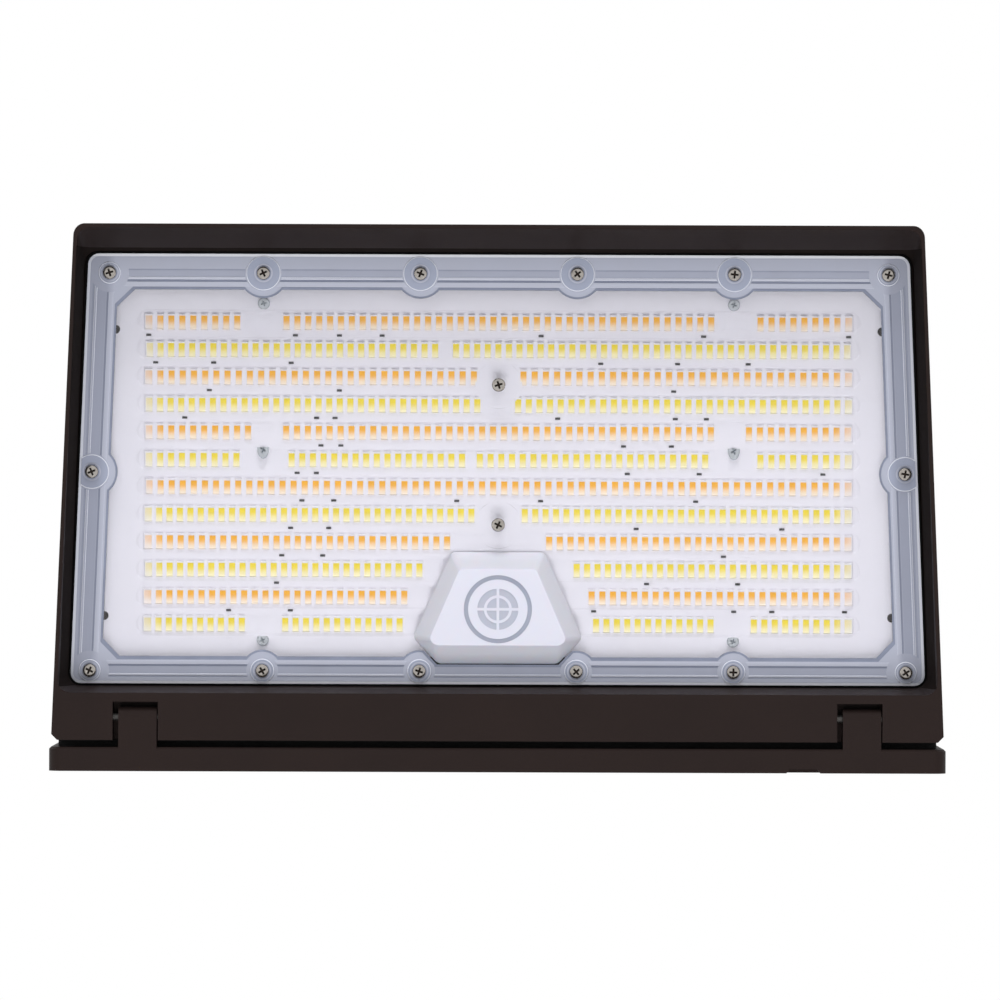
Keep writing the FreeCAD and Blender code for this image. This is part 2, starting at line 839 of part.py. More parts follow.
def makeGroundScrew():
    front = -plateWeb - plateRibHeight
    shank = lying(groundScrewX, groundScrewZ, front, -plateWeb, lensScrewRadius)
    head = lying(groundScrewX, groundScrewZ, front - lensScrewHeadHeight, front, lensScrewHeadRadius)
    slot = box(
        groundScrewX - lensScrewHeadRadius, groundScrewX + lensScrewHeadRadius,
        front - lensScrewHeadHeight, front - lensScrewHeadHeight + driveSlotDepth,
        groundScrewZ - driveSlotWidth / 2.0, groundScrewZ + driveSlotWidth / 2.0)
    return shank.fuse(head).cut(slot)


def sealRing(grow, y0, y1):
    half = housingHalf(housingRearY) - sealInset + grow
    low = rimZ + beamFloor - grow
    high = housingTopZ - sealInset + grow
    band = sealWidth + 2.0 * grow
    outer = box(-half, half, y0, y1, low, high)
    return outer.cut(box(-half + band, half - band, y0, y1, low + band, high - band))


def makeHousingSeal():
    return sealRing(0.0, -plateDepth - sealThickness, -plateDepth)


def makeHingePins():
    pins = []
    reach = slotWidth / 2.0 + pinGrip
    for x in tabCentres():
        pins.append(rod(
            pinRadius, FreeCAD.Vector(x - reach, hingeY, hingeZ),
            FreeCAD.Vector(x + reach, hingeY, hingeZ)))
    return Part.makeCompound(pins)


def makeClosingScrew(x):
    headY = closingSeatY - closingWasherThickness
    head = lying(x, closingZ, headY - closingHeadHeight, headY, closingHeadRadius)
    waist = lying(x, closingZ, headY, closingTipY - closingThreadLength, closingWaistRadius)
    thread = lying(x, closingZ, closingTipY - closingThreadLength, closingTipY, closingThreadRadius)
    tipEdges = []
    for edge in thread.Edges:
        if edge.BoundBox.YMin > closingTipY - 0.01:
            tipEdges.append(edge)
    thread = thread.makeChamfer(closingThreadRadius * 0.3, tipEdges)
    slot = box(
        x - closingHeadRadius, x + closingHeadRadius, headY - closingHeadHeight,
        headY - closingHeadHeight + 1.4, closingZ - 0.6, closingZ + 0.6)
    return head.multiFuse([waist, thread]).cut(slot).removeSplitter()


def makeClosingWasher(x):
    disc = lying(x, closingZ, closingSeatY - closingWasherThickness, closingSeatY, closingWasherRadius)
    hole = lying(
        x, closingZ, closingSeatY - closingWasherThickness - 1.0, closingSeatY + 1.0,
        closingWaistRadius + closingWasherGap)
    return disc.cut(hole)


def lightBars():
    bars = []
    halfBar = barHeight / 2.0
    clearances = []
    for x, y in centreScrewPlaces():
        clearances.append(upright(x, y, windowZ - barRise - 1.0, lensTopZ, seatBite))
    for i in range(len(ledRows)):
        y = rowFrontY + i * rowPitch
        reach = barReach - halfBar
        bar = box(-reach, reach, y - halfBar, y + halfBar, windowZ - barRise, windowZ)
        ends = [
            upright(-reach, y, windowZ - barRise, windowZ, halfBar),
            upright(reach, y, windowZ - barRise, windowZ, halfBar),
        ]
        bars.append(bar.multiFuse(ends).removeSplitter().cut(clearances))
    return bars


def bayLoft(shrink, footZ, faceZ):
    shapes = []
    foot = [[bayTopHalf, bayTopInset], [bayWideHalf, bayWideInset], [bayFootHalf, bayFootInset]]
    face = [
        [bayFaceTopHalf, bayFaceTopInset], [bayFaceWideHalf, bayFaceWideInset],
        [bayFaceFootHalf, bayFaceFootInset]]
    middle = (bayTopInset + bayFootInset) / 2.0
    for corners, z in [[foot, footZ], [face, faceZ]]:
        right = []
        left = []
        for half, inset in corners:
            pull = shrink if inset > middle else -shrink
            y = lensRearY - inset + pull
            right.append(FreeCAD.Vector(half - shrink, y, z))
            left.insert(0, FreeCAD.Vector(-half + shrink, y, z))
        points = right + left
        shapes.append(Part.makePolygon(points + [points[0]]))
    return Part.makeLoft(shapes, True, True)


def sensorFacets(faceZ):
    ring = upright(0, sensorY, faceZ - 1.0, faceZ + sensorFacetDepth, sensorFacetRadius)
    gaps = []
    for i in range(sensorFacetCount):
        gap = box(
            0.0, sensorFacetRadius, -sensorFacetGap / 2.0, sensorFacetGap / 2.0, faceZ - 1.0, faceZ + 1.0)
        gap.rotate(FreeCAD.Vector(0, 0, 0), FreeCAD.Vector(0, 0, 1), 360.0 * i / sensorFacetCount)
        gap.translate(FreeCAD.Vector(0, sensorY, 0))
        gaps.append(gap)
    return ring.cut(gaps)


def windowPlateau():
    frontY = lensFrontY + flangeFront
    rearY = lensRearY - flangeRear
    plateau = prism(
        outline(lensHalf(frontY) - flangeSide, lensHalf(rearY) - flangeSide, frontY, rearY,
                windowZ, windowCornerCut, windowCornerCut), windowRise)
    bites = []
    for x, y in edgeScrewPlaces():
        bites.append(upright(x, y, windowZ - 1.0, lensZ + 1.0, seatBite))
    return plateau.cut(bites)


def makeLens():
    plate = prism(lensOutline(0.0, lensZ, lensCornerRadius), lensThickness)
    ridge = prism(lensOutline(ridgeInset, lensZ - ridgeRise, lensCornerRadius), ridgeRise)
    ridge = ridge.cut(prism(
        lensOutline(ridgeInset + ridgeWidth, lensZ - ridgeRise, lensCornerRadius), ridgeRise))
    faceZ = windowZ - bayRise
    additions = [ridge, windowPlateau()] + lightBars()
    border = prism(lensOutline(0.0, lensZ - seatRise, lensCornerRadius), seatRise)
    for x, y in edgeScrewPlaces():
        additions.append(upright(x, y, lensZ - seatRise, lensZ, seatRadius).common(border))
    for x, y in centreScrewPlaces():
        additions.append(upright(x, y, lensTopZ, boardZ, centreBossRadius))
        additions.append(upright(x, y, lensZ - seatRise, lensZ, seatRadius))
    additions.append(bayLoft(0.0, lensTopZ, faceZ))
    body = plate.multiFuse(additions)
    cuts = [bayLoft(bayWall, lensTopZ + 0.01, faceZ + bayWall)]
    groove = upright(0, sensorY, faceZ - 1.0, faceZ + sensorRingDepth, sensorRingRadius)
    cuts.append(groove.cut(upright(
        0, sensorY, faceZ - 1.0, faceZ + sensorRingDepth, sensorRingRadius - sensorRingWidth)))
    cuts.append(sensorFacets(faceZ))
    for x, y in edgeScrewPlaces() + centreScrewPlaces():
        cuts.append(upright(x, y, lensZ - seatRise - cutPast, boardZ + 1.0, lensScrewRadius + clearFit))
    return body.cut(cuts).removeSplitter()


def makeLensGasket():
    outer = prism(lensOutline(gasketOuterInset, lensTopZ, lensCornerRadius), gasketThickness)
    innerWire = lensOutline(gasketInnerInset, lensTopZ, lensCornerRadius, 0.0, -gasketRearRelief)
    inner = prism(innerWire, gasketThickness)
    holes = []
    for x, y in edgeScrewPlaces():
        holes.append(upright(x, y, lensTopZ - 1.0, floorZ + 1.0, lensScrewRadius + clearFit))
    return outer.cut([inner] + holes)


def makeLensScrews():
    screws = []
    for x, y in edgeScrewPlaces():
        screws.append(upScrew(
            x, y, lensZ - seatRise, floorZ + screwGrip, lensScrewRadius, lensScrewHeadRadius,
            lensScrewHeadHeight))
    return Part.makeCompound(screws)


def makeCentreScrews():
    screws = []
    for x, y in centreScrewPlaces():
        screws.append(upScrew(
            x, y, lensZ - seatRise, pocketZ + boardScrewGrip, lensScrewRadius, lensScrewHeadRadius,
            lensScrewHeadHeight))
    return Part.makeCompound(screws)


def boardHoles(z0, z1, grow):
    holes = []
    for x, y in boardScrewPlaces():
        holes.append(upright(x, y, z0, z1, boardScrewRadius + grow))
    for x, y in centreScrewPlaces():
        holes.append(upright(x, y, z0, z1, lensScrewRadius + grow))
    return holes


def makeBoard():
    board = prism(boardOutline(0.0, boardZ), boardThickness)
    cuts = boardHoles(boardZ - 1.0, boardTopZ + 1.0, clearFit)
    for x, y in locatorPlaces():
        cuts.append(upright(x, y, boardZ - 1.0, boardTopZ + 1.0, locatorRadius + locatorGap))
    return board.cut(cuts)


def makePad():
    pad = prism(boardOutline(-padInset, boardTopZ), padThickness)
    cuts = boardHoles(boardTopZ - 1.0, pocketZ + 1.0, clearFit)
    cuts.append(upright(connectorX, leadY, boardTopZ - 1.0, pocketZ + 1.0, connectorHoleRadius))
    return pad.cut(cuts)


def makeBoardScrews():
    screws = []
    for x, y in boardScrewPlaces():
        screws.append(upScrew(
            x, y, boardZ, pocketZ + boardScrewGrip, boardScrewRadius, boardScrewHeadRadius,
            boardScrewHeadHeight))
    return Part.makeCompound(screws)


def makeLeds(white):
    chips = []
    for i, row in enumerate(ledRows):
        if row["white"] != white:
            continue
        y = rowFrontY + i * rowPitch
        for first, last, count in row["groups"]:
            for k in range(count):
                x = ledReach * (first + k * (last - first) / (count - 1))
                chips.append(box(
                    x - ledWidth / 2.0, x + ledWidth / 2.0, y - ledLength / 2.0, y + ledLength / 2.0,
                    boardZ - ledHeight, boardZ))
    return Part.makeCompound(chips)


def makeResistors():
    chips = []
    for i, places in enumerate(resistorPlaces):
        y = rowFrontY + (i + 0.5) * rowPitch
        for place in places:
            x = place * ledReach
            chips.append(box(
                x - resistorLength / 2.0, x + resistorLength / 2.0, y - resistorWidth / 2.0,
                y + resistorWidth / 2.0, boardZ - resistorHeight, boardZ))
    return Part.makeCompound(chips)


def makeConnector():
    return box(
        connectorX - connectorLength / 2.0, connectorX + connectorLength / 2.0,
        leadY - connectorWidth / 2.0, leadY + connectorWidth / 2.0,
        boardTopZ, boardTopZ + connectorHeight)


def makeSensorHolder():
    ring = upright(0, sensorY, boardZ - holderHeight, boardZ, holderRadius)
    return ring.cut(upright(0, sensorY, boardZ - holderHeight, boardZ, holderRadius - holderWall))


def makeSensorBoard():
    top = boardZ - holderHeight
    return upright(0, sensorY, top - sensorBoardThickness, top, holderRadius)


def makeSensorElement():
    top = boardZ - holderHeight - sensorBoardThickness
    return upright(0, sensorY, top - sensorElementHeight, top, sensorElementRadius)


def makeDriverCase():
    halfLength = driverLength / 2.0
    case = box(-halfLength, halfLength, driverFrontY, driverRearY, floorTopZ, driverTopZ)
    edges = []
    for edge in case.Edges:
        bounds = edge.BoundBox
        if bounds.XLength > driverLength * 0.9 and bounds.ZMin > floorTopZ + 1.0:
            edges.append(edge)
    return case.makeFillet(driverCornerRadius, edges)


def makeDriverCaps():
    caps = []
    halfLength = driverLength / 2.0
    footZ = floorTopZ + footBossHeight
    for side in [-1, 1]:
        start = side * halfLength
        end = side * (halfLength + capThickness)
        cap = box(start, end, driverFrontY, driverRearY, floorTopZ, driverTopZ)
        feet = []
        holes = []
        for x, y in footPlaces():
            if x * side > 0:
                feet.append(box(
                    end, end + side * footLength, y - footWidth / 2.0, y + footWidth / 2.0,
                    footZ, footZ + footThickness))
                holes.append(upright(
                    x, y, footZ - 1.0, footZ + footThickness + 1.0, driverScrewRadius + clearFit))
        caps.append(cap.multiFuse(feet).cut(holes).removeSplitter())
    return Part.makeCompound(caps)


def makeDriverScrews():
    screws = []
    for x, y in footPlaces():
        screws.append(downScrew(
            x, y, floorTopZ + footBossHeight + footThickness, floorTopZ + 0.5, driverScrewRadius,
            driverScrewHeadRadius, driverScrewHeadHeight))
    return Part.makeCompound(screws)


def makeSwitchBody(x):
    body = box(
        x - switchLength / 2.0, x + switchLength / 2.0, driverRearY, driverRearY + switchDepth,
        switchZ - switchHeight / 2.0, switchZ + switchHeight / 2.0)
    halfSlot = knobLength / 2.0 + switchTravel + switchGap
    slot = box(
        x - halfSlot, x + halfSlot, driverRearY + switchDepth / 2.0, driverRearY + switchDepth + 1.0,
        switchZ - knobHeight / 2.0 - switchGap, switchZ + knobHeight / 2.0 + switchGap)
    return body.cut(slot)


def makeSwitchKnob(x):
    return box(
        x - knobLength / 2.0, x + knobLength / 2.0,
        driverRearY + switchDepth / 2.0 + switchGap, driverRearY + switchDepth + knobReach,
        switchZ - knobHeight / 2.0, switchZ + knobHeight / 2.0)


def makeSurge():
    block = box(
        surgeX - surgeLength / 2.0, surgeX + surgeLength / 2.0, surgeRearY - surgeWidth, surgeRearY,
        floorTopZ, floorTopZ + surgeHeight)
    edges = []
    for edge in block.Edges:
        if edge.BoundBox.ZLength > surgeHeight * 0.9:
            edges.append(edge)
    return block.makeFillet(driverCornerRadius, edges)


def terminalPoleXs():
    xs = []
    for i in range(terminalPoles):
        xs.append(terminalX + (i - (terminalPoles - 1) / 2.0) * terminalPitch)
    return xs


def makeTerminal():
    halfLength = terminalPoles * terminalPitch / 2.0
    frontY = terminalRearY - terminalDepth
    top = floorTopZ + terminalHeight
    body = box(terminalX - halfLength, terminalX + halfLength, frontY, terminalRearY, floorTopZ, top)
    cuts = []
    for x in terminalPoleXs():
        cuts.append(lying(
            x, floorTopZ + terminalHeight * 0.4, terminalRearY - terminalDepth * 0.4,
            terminalRearY + 1.0, terminalHoleRadius))
        cuts.append(upright(
            x, terminalRearY - terminalDepth / 2.0, top - terminalScrewHeight, top + 1.0,
            terminalScrewRadius + clearFit))
    return body.cut(cuts)


def makeTerminalScrews():
    screws = []
    top = floorTopZ + terminalHeight
    y = terminalRearY - terminalDepth / 2.0
    for x in terminalPoleXs():
        head = upright(x, y, top - terminalScrewHeight, top, terminalScrewRadius)
        slot = box(
            x - terminalScrewRadius, x + terminalScrewRadius, y - driveSlotWidth / 2.0,
            y + driveSlotWidth / 2.0, top - driveSlotDepth, top + 1.0)
        screws.append(head.cut(slot))
    return Part.makeCompound(screws)


def bentLead(start, corner, end, radius):
    before = (start - corner).normalize()
    after = (end - corner).normalize()
    half = before.getAngle(after) / 2.0
    reach = radius / math.tan(half)
    middle = (before + after).normalize()
    centre = corner + middle * (radius / math.sin(half))
    bendStart = corner + before * reach
    bendEnd = corner + after * reach
    path = Part.Wire([
        line(start, bendStart),
        Part.Arc(bendStart, centre - middle * radius, bendEnd).toShape(),
        line(bendEnd, end),
    ])
    section = Part.Wire(Part.makeCircle(leadRadius, start, corner - start))
    return path.makePipeShell([section], True, False)


def makeSupplyLead():
    z = floorTopZ + supplyLeadRise
    start = FreeCAD.Vector(terminalX, terminalRearY - terminalDepth, z)
    corner = FreeCAD.Vector(terminalX, leadY, z)
    end = FreeCAD.Vector(-driverLength / 2.0 - capThickness, leadY, z)
    shorter = min((start - corner).Length, (end - corner).Length)
    return bentLead(start, corner, end, shorter * 0.45)


def makeLightLead():
    z = floorTopZ + lightLeadRise
    start = FreeCAD.Vector(driverLength / 2.0 + capThickness, leadY, z)
    corner = FreeCAD.Vector(connectorX, leadY, z)
    end = FreeCAD.Vector(connectorX, leadY, boardTopZ + connectorHeight)
    shorter = min((start - corner).Length, (end - corner).Length)
    return bentLead(start, corner, end, shorter * 0.45)


def save(name, shape):
    shape.exportStep("parts/" + name + ".step")
    bounds = shape.BoundBox
    print(name, len(shape.Solids), "solids", round(shape.Volume / 1000.0, 2), "cm3", shape.isValid(),
          round(bounds.YMin, 1), round(bounds.YMax, 1), round(bounds.ZMin, 1), round(bounds.ZMax, 1))


save("back_plate", makeBackPlate())
save("wall_gasket", makeWallGasket())
save("wire_grommet", makeGrommet())
save("ground_screw", makeGroundScrew())
save("housing_seal", makeHousingSeal())
save("hinge_pins", makeHingePins())
save("housing", makeHousing())
save("lens", makeLens())
save("lens_gasket", makeLensGasket())
save("lens_screws", makeLensScrews())
save("centre_screws", makeCentreScrews())
save("led_board", makeBoard())
save("thermal_pad", makePad())
save("board_screws", makeBoardScrews())
save("board_connector", makeConnector())
save("warm_leds", makeLeds("warm"))
save("cool_leds", makeLeds("cool"))
save("board_resistors", makeResistors())
save("sensor_holder", makeSensorHolder())
save("sensor_board", makeSensorBoard())
save("sensor_element", makeSensorElement())
save("driver_case", makeDriverCase())
save("driver_caps", makeDriverCaps())
save("driver_screws", makeDriverScrews())
save("power_switch", makeSwitchBody(-switchSpacing / 2.0))
save("power_knob", makeSwitchKnob(-switchSpacing / 2.0))
save("colour_switch", makeSwitchBody(switchSpacing / 2.0))
save("colour_knob", makeSwitchKnob(switchSpacing / 2.0))
save("surge_protector", makeSurge())
save("terminal_block", makeTerminal())
save("terminal_screws", makeTerminalScrews())
save("supply_lead", makeSupplyLead())
save("light_lead", makeLightLead())
save("closing_screw_left", makeClosingScrew(-closingSpacing / 2.0))
save("closing_screw_right", makeClosingScrew(closingSpacing / 2.0))
save("closing_washer_left", makeClosingWasher(-closingSpacing / 2.0))
save("closing_washer_right", makeClosingWasher(closingSpacing / 2.0))
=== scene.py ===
import json
import math
import bpy
from mathutils import Matrix, Vector

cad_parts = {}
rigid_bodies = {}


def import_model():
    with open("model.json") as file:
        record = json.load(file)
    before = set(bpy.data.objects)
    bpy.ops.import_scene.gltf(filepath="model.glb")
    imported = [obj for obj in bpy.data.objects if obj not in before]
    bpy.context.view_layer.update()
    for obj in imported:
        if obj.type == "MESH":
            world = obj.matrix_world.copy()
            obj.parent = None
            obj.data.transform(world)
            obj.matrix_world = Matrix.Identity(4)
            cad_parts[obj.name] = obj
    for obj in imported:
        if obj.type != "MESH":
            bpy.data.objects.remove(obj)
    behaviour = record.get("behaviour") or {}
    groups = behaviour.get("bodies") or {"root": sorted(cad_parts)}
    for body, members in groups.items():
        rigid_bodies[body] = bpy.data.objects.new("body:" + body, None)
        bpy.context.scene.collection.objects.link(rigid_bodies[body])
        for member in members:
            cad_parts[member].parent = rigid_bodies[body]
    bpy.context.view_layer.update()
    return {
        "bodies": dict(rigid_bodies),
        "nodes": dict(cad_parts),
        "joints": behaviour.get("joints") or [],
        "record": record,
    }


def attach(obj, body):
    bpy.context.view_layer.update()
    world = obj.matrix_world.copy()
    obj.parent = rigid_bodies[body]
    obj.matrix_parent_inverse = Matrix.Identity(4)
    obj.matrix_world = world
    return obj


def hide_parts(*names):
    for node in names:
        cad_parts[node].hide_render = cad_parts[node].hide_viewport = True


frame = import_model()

nodes = frame["nodes"]
mm = 0.001
near = 1e-6  # metres within which two points count as level
past = 1.0  # how far a cutter stands past what it cuts, or a multiple of it
print("frame loaded:", len(nodes), "nodes")

# sizes shared by several pieces, in millimetres, as the housing and lens have them
lensPlace = {
    "frontY": -206.2, "rearY": -34.3, "frontHalf": 164.2, "rearHalf": 171.0, "corner": 4.3,
    "faceZ": -80.0, "backZ": -77.5, "windowZ": -80.5, "seatZ": -80.6,
}
edgeScrews = {
    "frontY": -198.5, "rearY": -39.5, "sideY": -118.9, "pitch": 62.8,
    "frontCornerX": 155.7, "rearCornerX": 163.2, "sideX": 162.6,
}
centreScrews = [(0.0, -154.1), (0.0, -98.1)]
boardScrews = {"sideX": 94.2, "rows": (-186.5, -126.7, -51.7)}
boardFaceZ = -74.1
rowFrontY, rowRearY, rowCount = -179.3, -58.1, 12
rowPitch = (rowRearY - rowFrontY) / (rowCount - 1)


# working as in the viewport

def clearSelection():
    if bpy.context.object and bpy.context.object.mode != "OBJECT":
        bpy.ops.object.mode_set(mode="OBJECT")
    bpy.ops.object.select_all(action="DESELECT")


def makeActive(obj):
    clearSelection()
    obj.select_set(True)
    bpy.context.view_layer.objects.active = obj


def applyPlace(obj):
    makeActive(obj)
    bpy.ops.object.transform_apply(location=True, rotation=True, scale=True)


def applyModifier(obj, kind, **settings):
    makeActive(obj)
    modifier = obj.modifiers.new(kind.title(), kind)
    for name, value in settings.items():
        setattr(modifier, name, value)
    bpy.ops.object.modifier_apply(modifier=modifier.name)


def pick(obj, parts, wanted):
    # opens edit mode with only the wanted vertices, edges or polygons selected
    makeActive(obj)
    bpy.ops.object.mode_set(mode="EDIT")
    kinds = {"vertices": "VERT", "edges": "EDGE", "polygons": "FACE"}
    bpy.ops.mesh.select_mode(type=kinds[parts])
    bpy.ops.mesh.select_all(action="DESELECT")
    bpy.ops.object.mode_set(mode="OBJECT")
    for item in getattr(obj.data, parts):
        item.select = bool(wanted(item))
    bpy.ops.object.mode_set(mode="EDIT")


def openAll(obj):
    makeActive(obj)
    bpy.ops.object.mode_set(mode="EDIT")
    bpy.ops.mesh.select_all(action="SELECT")


def closeEdit():
    bpy.ops.object.mode_set(mode="OBJECT")


def edgeEnds(obj, edge):
    a, b = edge.vertices
    return obj.data.vertices[a].co, obj.data.vertices[b].co


def bevelEdges(obj, wanted, width, segments):
    pick(obj, "edges", lambda e: wanted(*edgeEnds(obj, e)))
    bpy.ops.mesh.bevel(offset=width * mm, segments=segments, affect="EDGES", clamp_overlap=True)
    closeEdit()


def smooth(obj, degrees=35):
    makeActive(obj)
    bpy.ops.object.shade_smooth_by_angle(angle=math.radians(degrees))


def isUpright(a, b):
    return abs(a.x - b.x) < near and abs(a.y - b.y) < near


def atHeight(z):
    return lambda a, b: abs(a.z - z * mm) < near and abs(b.z - z * mm) < near


def facesDown(polygon):
    return polygon.normal.z < -0.9


def addDisc(name, x, y, z0, z1, radius, sides=40):
    clearSelection()
    bpy.ops.mesh.primitive_cylinder_add(
        vertices=sides, radius=radius * mm, depth=abs(z1 - z0) * mm,
        location=(x * mm, y * mm, (z0 + z1) / 2 * mm))
    obj = bpy.context.object
    obj.name = name
    applyPlace(obj)
    return obj


def addBlock(name, low, high):
    clearSelection()
    bpy.ops.mesh.primitive_cube_add(size=1, location=[(a + b) / 2 * mm for a, b in zip(low, high)])
    obj = bpy.context.object
    obj.name = name
    obj.scale = [(b - a) * mm for a, b in zip(low, high)]
    applyPlace(obj)
    return obj


def lensHalf(y):
    share = (y - lensPlace["frontY"]) / (lensPlace["rearY"] - lensPlace["frontY"])
    return lensPlace["frontHalf"] + share * (lensPlace["rearHalf"] - lensPlace["frontHalf"])


def addLensPlate(name, insets, z0, z1, corner, segments=6):
    # a plate with the lens's tapering outline, inset by (front, side, rear)
    front, side, rear = insets
    frontY = lensPlace["frontY"] + front
    rearY = lensPlace["rearY"] - rear
    rearHalf = lensHalf(rearY) - side
    frontHalf = lensHalf(frontY) - side
    obj = addBlock(name, (-rearHalf, frontY, min(z0, z1)), (rearHalf, rearY, max(z0, z1)))
    pick(obj, "vertices", lambda v: v.co.y < (frontY + rearY) / 2 * mm)
    bpy.ops.transform.resize(value=(frontHalf / rearHalf, 1, 1))
    closeEdit()
    bevelEdges(obj, isUpright, corner, segments)
    return obj


def joined(name, objs):
    clearSelection()
    for obj in objs:
        obj.select_set(True)
    bpy.context.view_layer.objects.active = objs[0]
    if len(objs) > 1:
        bpy.ops.object.join()
    objs[0].name = name
    return objs[0]


def copyAt(obj, x, y, z=0.0):
    twin = obj.copy()
    twin.data = obj.data.copy()
    twin.data.transform(Matrix.Translation((x * mm, y * mm, z * mm)))
    bpy.context.scene.collection.objects.link(twin)
    return twin


def remove(obj):
    bpy.data.objects.remove(obj)


def combine(obj, tools, operation):
    # every tool goes into one mesh first, so it is one boolean
    tool = joined(obj.name + "Tool", tools)
    applyModifier(
        obj, "BOOLEAN", object=tool, operation=operation, solver="EXACT", use_self=len(tools) > 1)
    remove(tool)


def finishPiece(obj, body, slot, material, *stoodFor):
    obj.data.materials.clear()
    obj.data.materials.append(material)
    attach(obj, body)
    if stoodFor:
        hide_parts(*stoodFor)


def edgeScrewPlaces():
    s = edgeScrews
    places = []
    for side in (-1, 1):
        places.append((side * s["frontCornerX"], s["frontY"], "corner"))
        places.append((side * s["rearCornerX"], s["rearY"], "corner"))
        places.append((side * s["sideX"], s["sideY"], "side"))
        for y, kind in ((s["frontY"], "front"), (s["rearY"], "rear")):
            places.append((side * s["pitch"] / 2, y, kind))
            places.append((side * s["pitch"] * 1.5, y, kind))
    return places


# materials: shared effects first

def newGroup(name, inputs, outputs):
    group = bpy.data.node_groups.new(name, "ShaderNodeTree")
    for label, kind, value in inputs:
        socket = group.interface.new_socket(
            name=label, in_out="INPUT", socket_type="NodeSocket" + kind)
        socket.default_value = value
    for label, kind in outputs:
        group.interface.new_socket(name=label, in_out="OUTPUT", socket_type="NodeSocket" + kind)
    return group, group.nodes.new("NodeGroupInput"), group.nodes.new("NodeGroupOutput")


def feed(tree, socket, value):
    # a number or colour is set, the output of a node is linked
    if isinstance(value, (int, float, tuple)):
        socket.default_value = value
    else:
        tree.links.new(value, socket)


def objectPlace(tree):
    return tree.nodes.new("ShaderNodeTexCoord").outputs["Object"]


def splitAxes(tree, vector):
    node = tree.nodes.new("ShaderNodeSeparateXYZ")
    tree.links.new(vector, node.inputs[0])
    return node.outputs


def noiseNode(tree, vector, scale, detail=3.0, roughness=0.5):
    node = tree.nodes.new("ShaderNodeTexNoise")
    for label, value in (("Scale", scale), ("Detail", detail), ("Roughness", roughness),
                         ("Vector", vector)):
        feed(tree, node.inputs[label], value)
    return node.outputs["Fac"]


def mathNode(tree, operation, a, b=None):
    node = tree.nodes.new("ShaderNodeMath")
    node.operation = operation
    for i, value in enumerate([a, b]):
        if value is not None:
            feed(tree, node.inputs[i], value)
    return node.outputs[0]


def mixColours(tree, factor, a, b, blend="MIX"):
    node = tree.nodes.new("ShaderNodeMix")
    node.data_type = "RGBA"
    node.blend_type = blend
    for value, place in ((factor, 0), (a, 6), (b, 7)):
        feed(tree, node.inputs[place], value)
    return node.outputs[2]


def rangeShare(tree, value, start, end, top=1.0, curve="LINEAR"):
    # nothing up to start, rising to top at end
    node = tree.nodes.new("ShaderNodeMapRange")
    node.interpolation_type = curve
    for label, number in (("Value", value), ("From Min", start), ("From Max", end), ("To Max", top)):
        feed(tree, node.inputs[label], number)
    return node.outputs["Result"]


def bumpNormal(tree, height, strength, depth):
    node = tree.nodes.new("ShaderNodeBump")
    for label, value in (("Strength", strength), ("Distance", depth), ("Height", height)):
        feed(tree, node.inputs[label], value)
    return node.outputs["Normal"]


def makeMottle():
    # slow colour change plus a fine grain, for painted and moulded surfaces
    group, start, end = newGroup(
        "mottle",
        [("Colour", "Color", (0.5, 0.5, 0.5, 1)), ("Other", "Color", (0.4, 0.4, 0.4, 1)),
         ("Patch", "Float", 20.0), ("Grain", "Float", 900.0), ("Gloss", "Float", 0.4),
         ("Gloss change", "Float", 0.1), ("Bump", "Float", 0.1), ("Depth", "Float", 0.0001)],
        [("Colour", "Color"), ("Roughness", "Float"), ("Normal", "Vector")])
    given = start.outputs
    place = objectPlace(group)
    patch = noiseNode(group, place, given["Patch"], 4.0, 0.6)
    grain = noiseNode(group, place, given["Grain"], 2.0, 0.5)
    change = mathNode(group, "MULTIPLY", mathNode(group, "SUBTRACT", patch, 0.5),
                      given["Gloss change"])
    feed(group, end.inputs["Colour"], mixColours(group, patch, given["Colour"], given["Other"]))
    feed(group, end.inputs["Roughness"], mathNode(group, "ADD", given["Gloss"], change))
    feed(group, end.inputs["Normal"], bumpNormal(group, grain, given["Bump"], given["Depth"]))
    return group


def makeHeightTone():
    # one colour where the surface lies deep, another where it stands proud, along Z
    group, start, end = newGroup(
        "heightTone",
        [("Deep", "Color", (0.1, 0.1, 0.1, 1)), ("Proud", "Color", (0.5, 0.5, 0.5, 1)),
         ("Deep Z", "Float", -0.0792), ("Proud Z", "Float", -0.0802)],
        [("Colour", "Color"), ("Share", "Float")])
    given = start.outputs
    height = splitAxes(group, objectPlace(group))["Z"]
    share = rangeShare(group, height, given["Deep Z"], given["Proud Z"])
    feed(group, end.inputs["Colour"], mixColours(group, share, given["Deep"], given["Proud"]))
    feed(group, end.inputs["Share"], share)
    return group


mottle = makeMottle()
heightTone = makeHeightTone()


def srgb(r, g, b):
    def straight(c):
        c = c / 255
        return c / 12.92 if c <= 0.04045 else ((c + 0.055) / 1.055) ** 2.4
    return (straight(r), straight(g), straight(b), 1.0)


def newMaterial(name):
    material = bpy.data.materials.new(name)
    material.use_nodes = True
    tree = material.node_tree
    return material, tree, tree.nodes["Principled BSDF"]


def placeGroup(tree, group, values):
    node = tree.nodes.new("ShaderNodeGroup")
    node.node_tree = group
    for name, value in values.items():
        node.inputs[name].default_value = value
    return node


def mottled(name, values, **shader):
    material, tree, bsdf = newMaterial(name)
    node = placeGroup(tree, mottle, values)
    tree.links.new(node.outputs["Colour"], bsdf.inputs["Base Color"])
    tree.links.new(node.outputs["Roughness"], bsdf.inputs["Roughness"])
    tree.links.new(node.outputs["Normal"], bsdf.inputs["Normal"])
    for key, value in shader.items():
        bsdf.inputs[key.replace("_", " ")].default_value = value
    return material


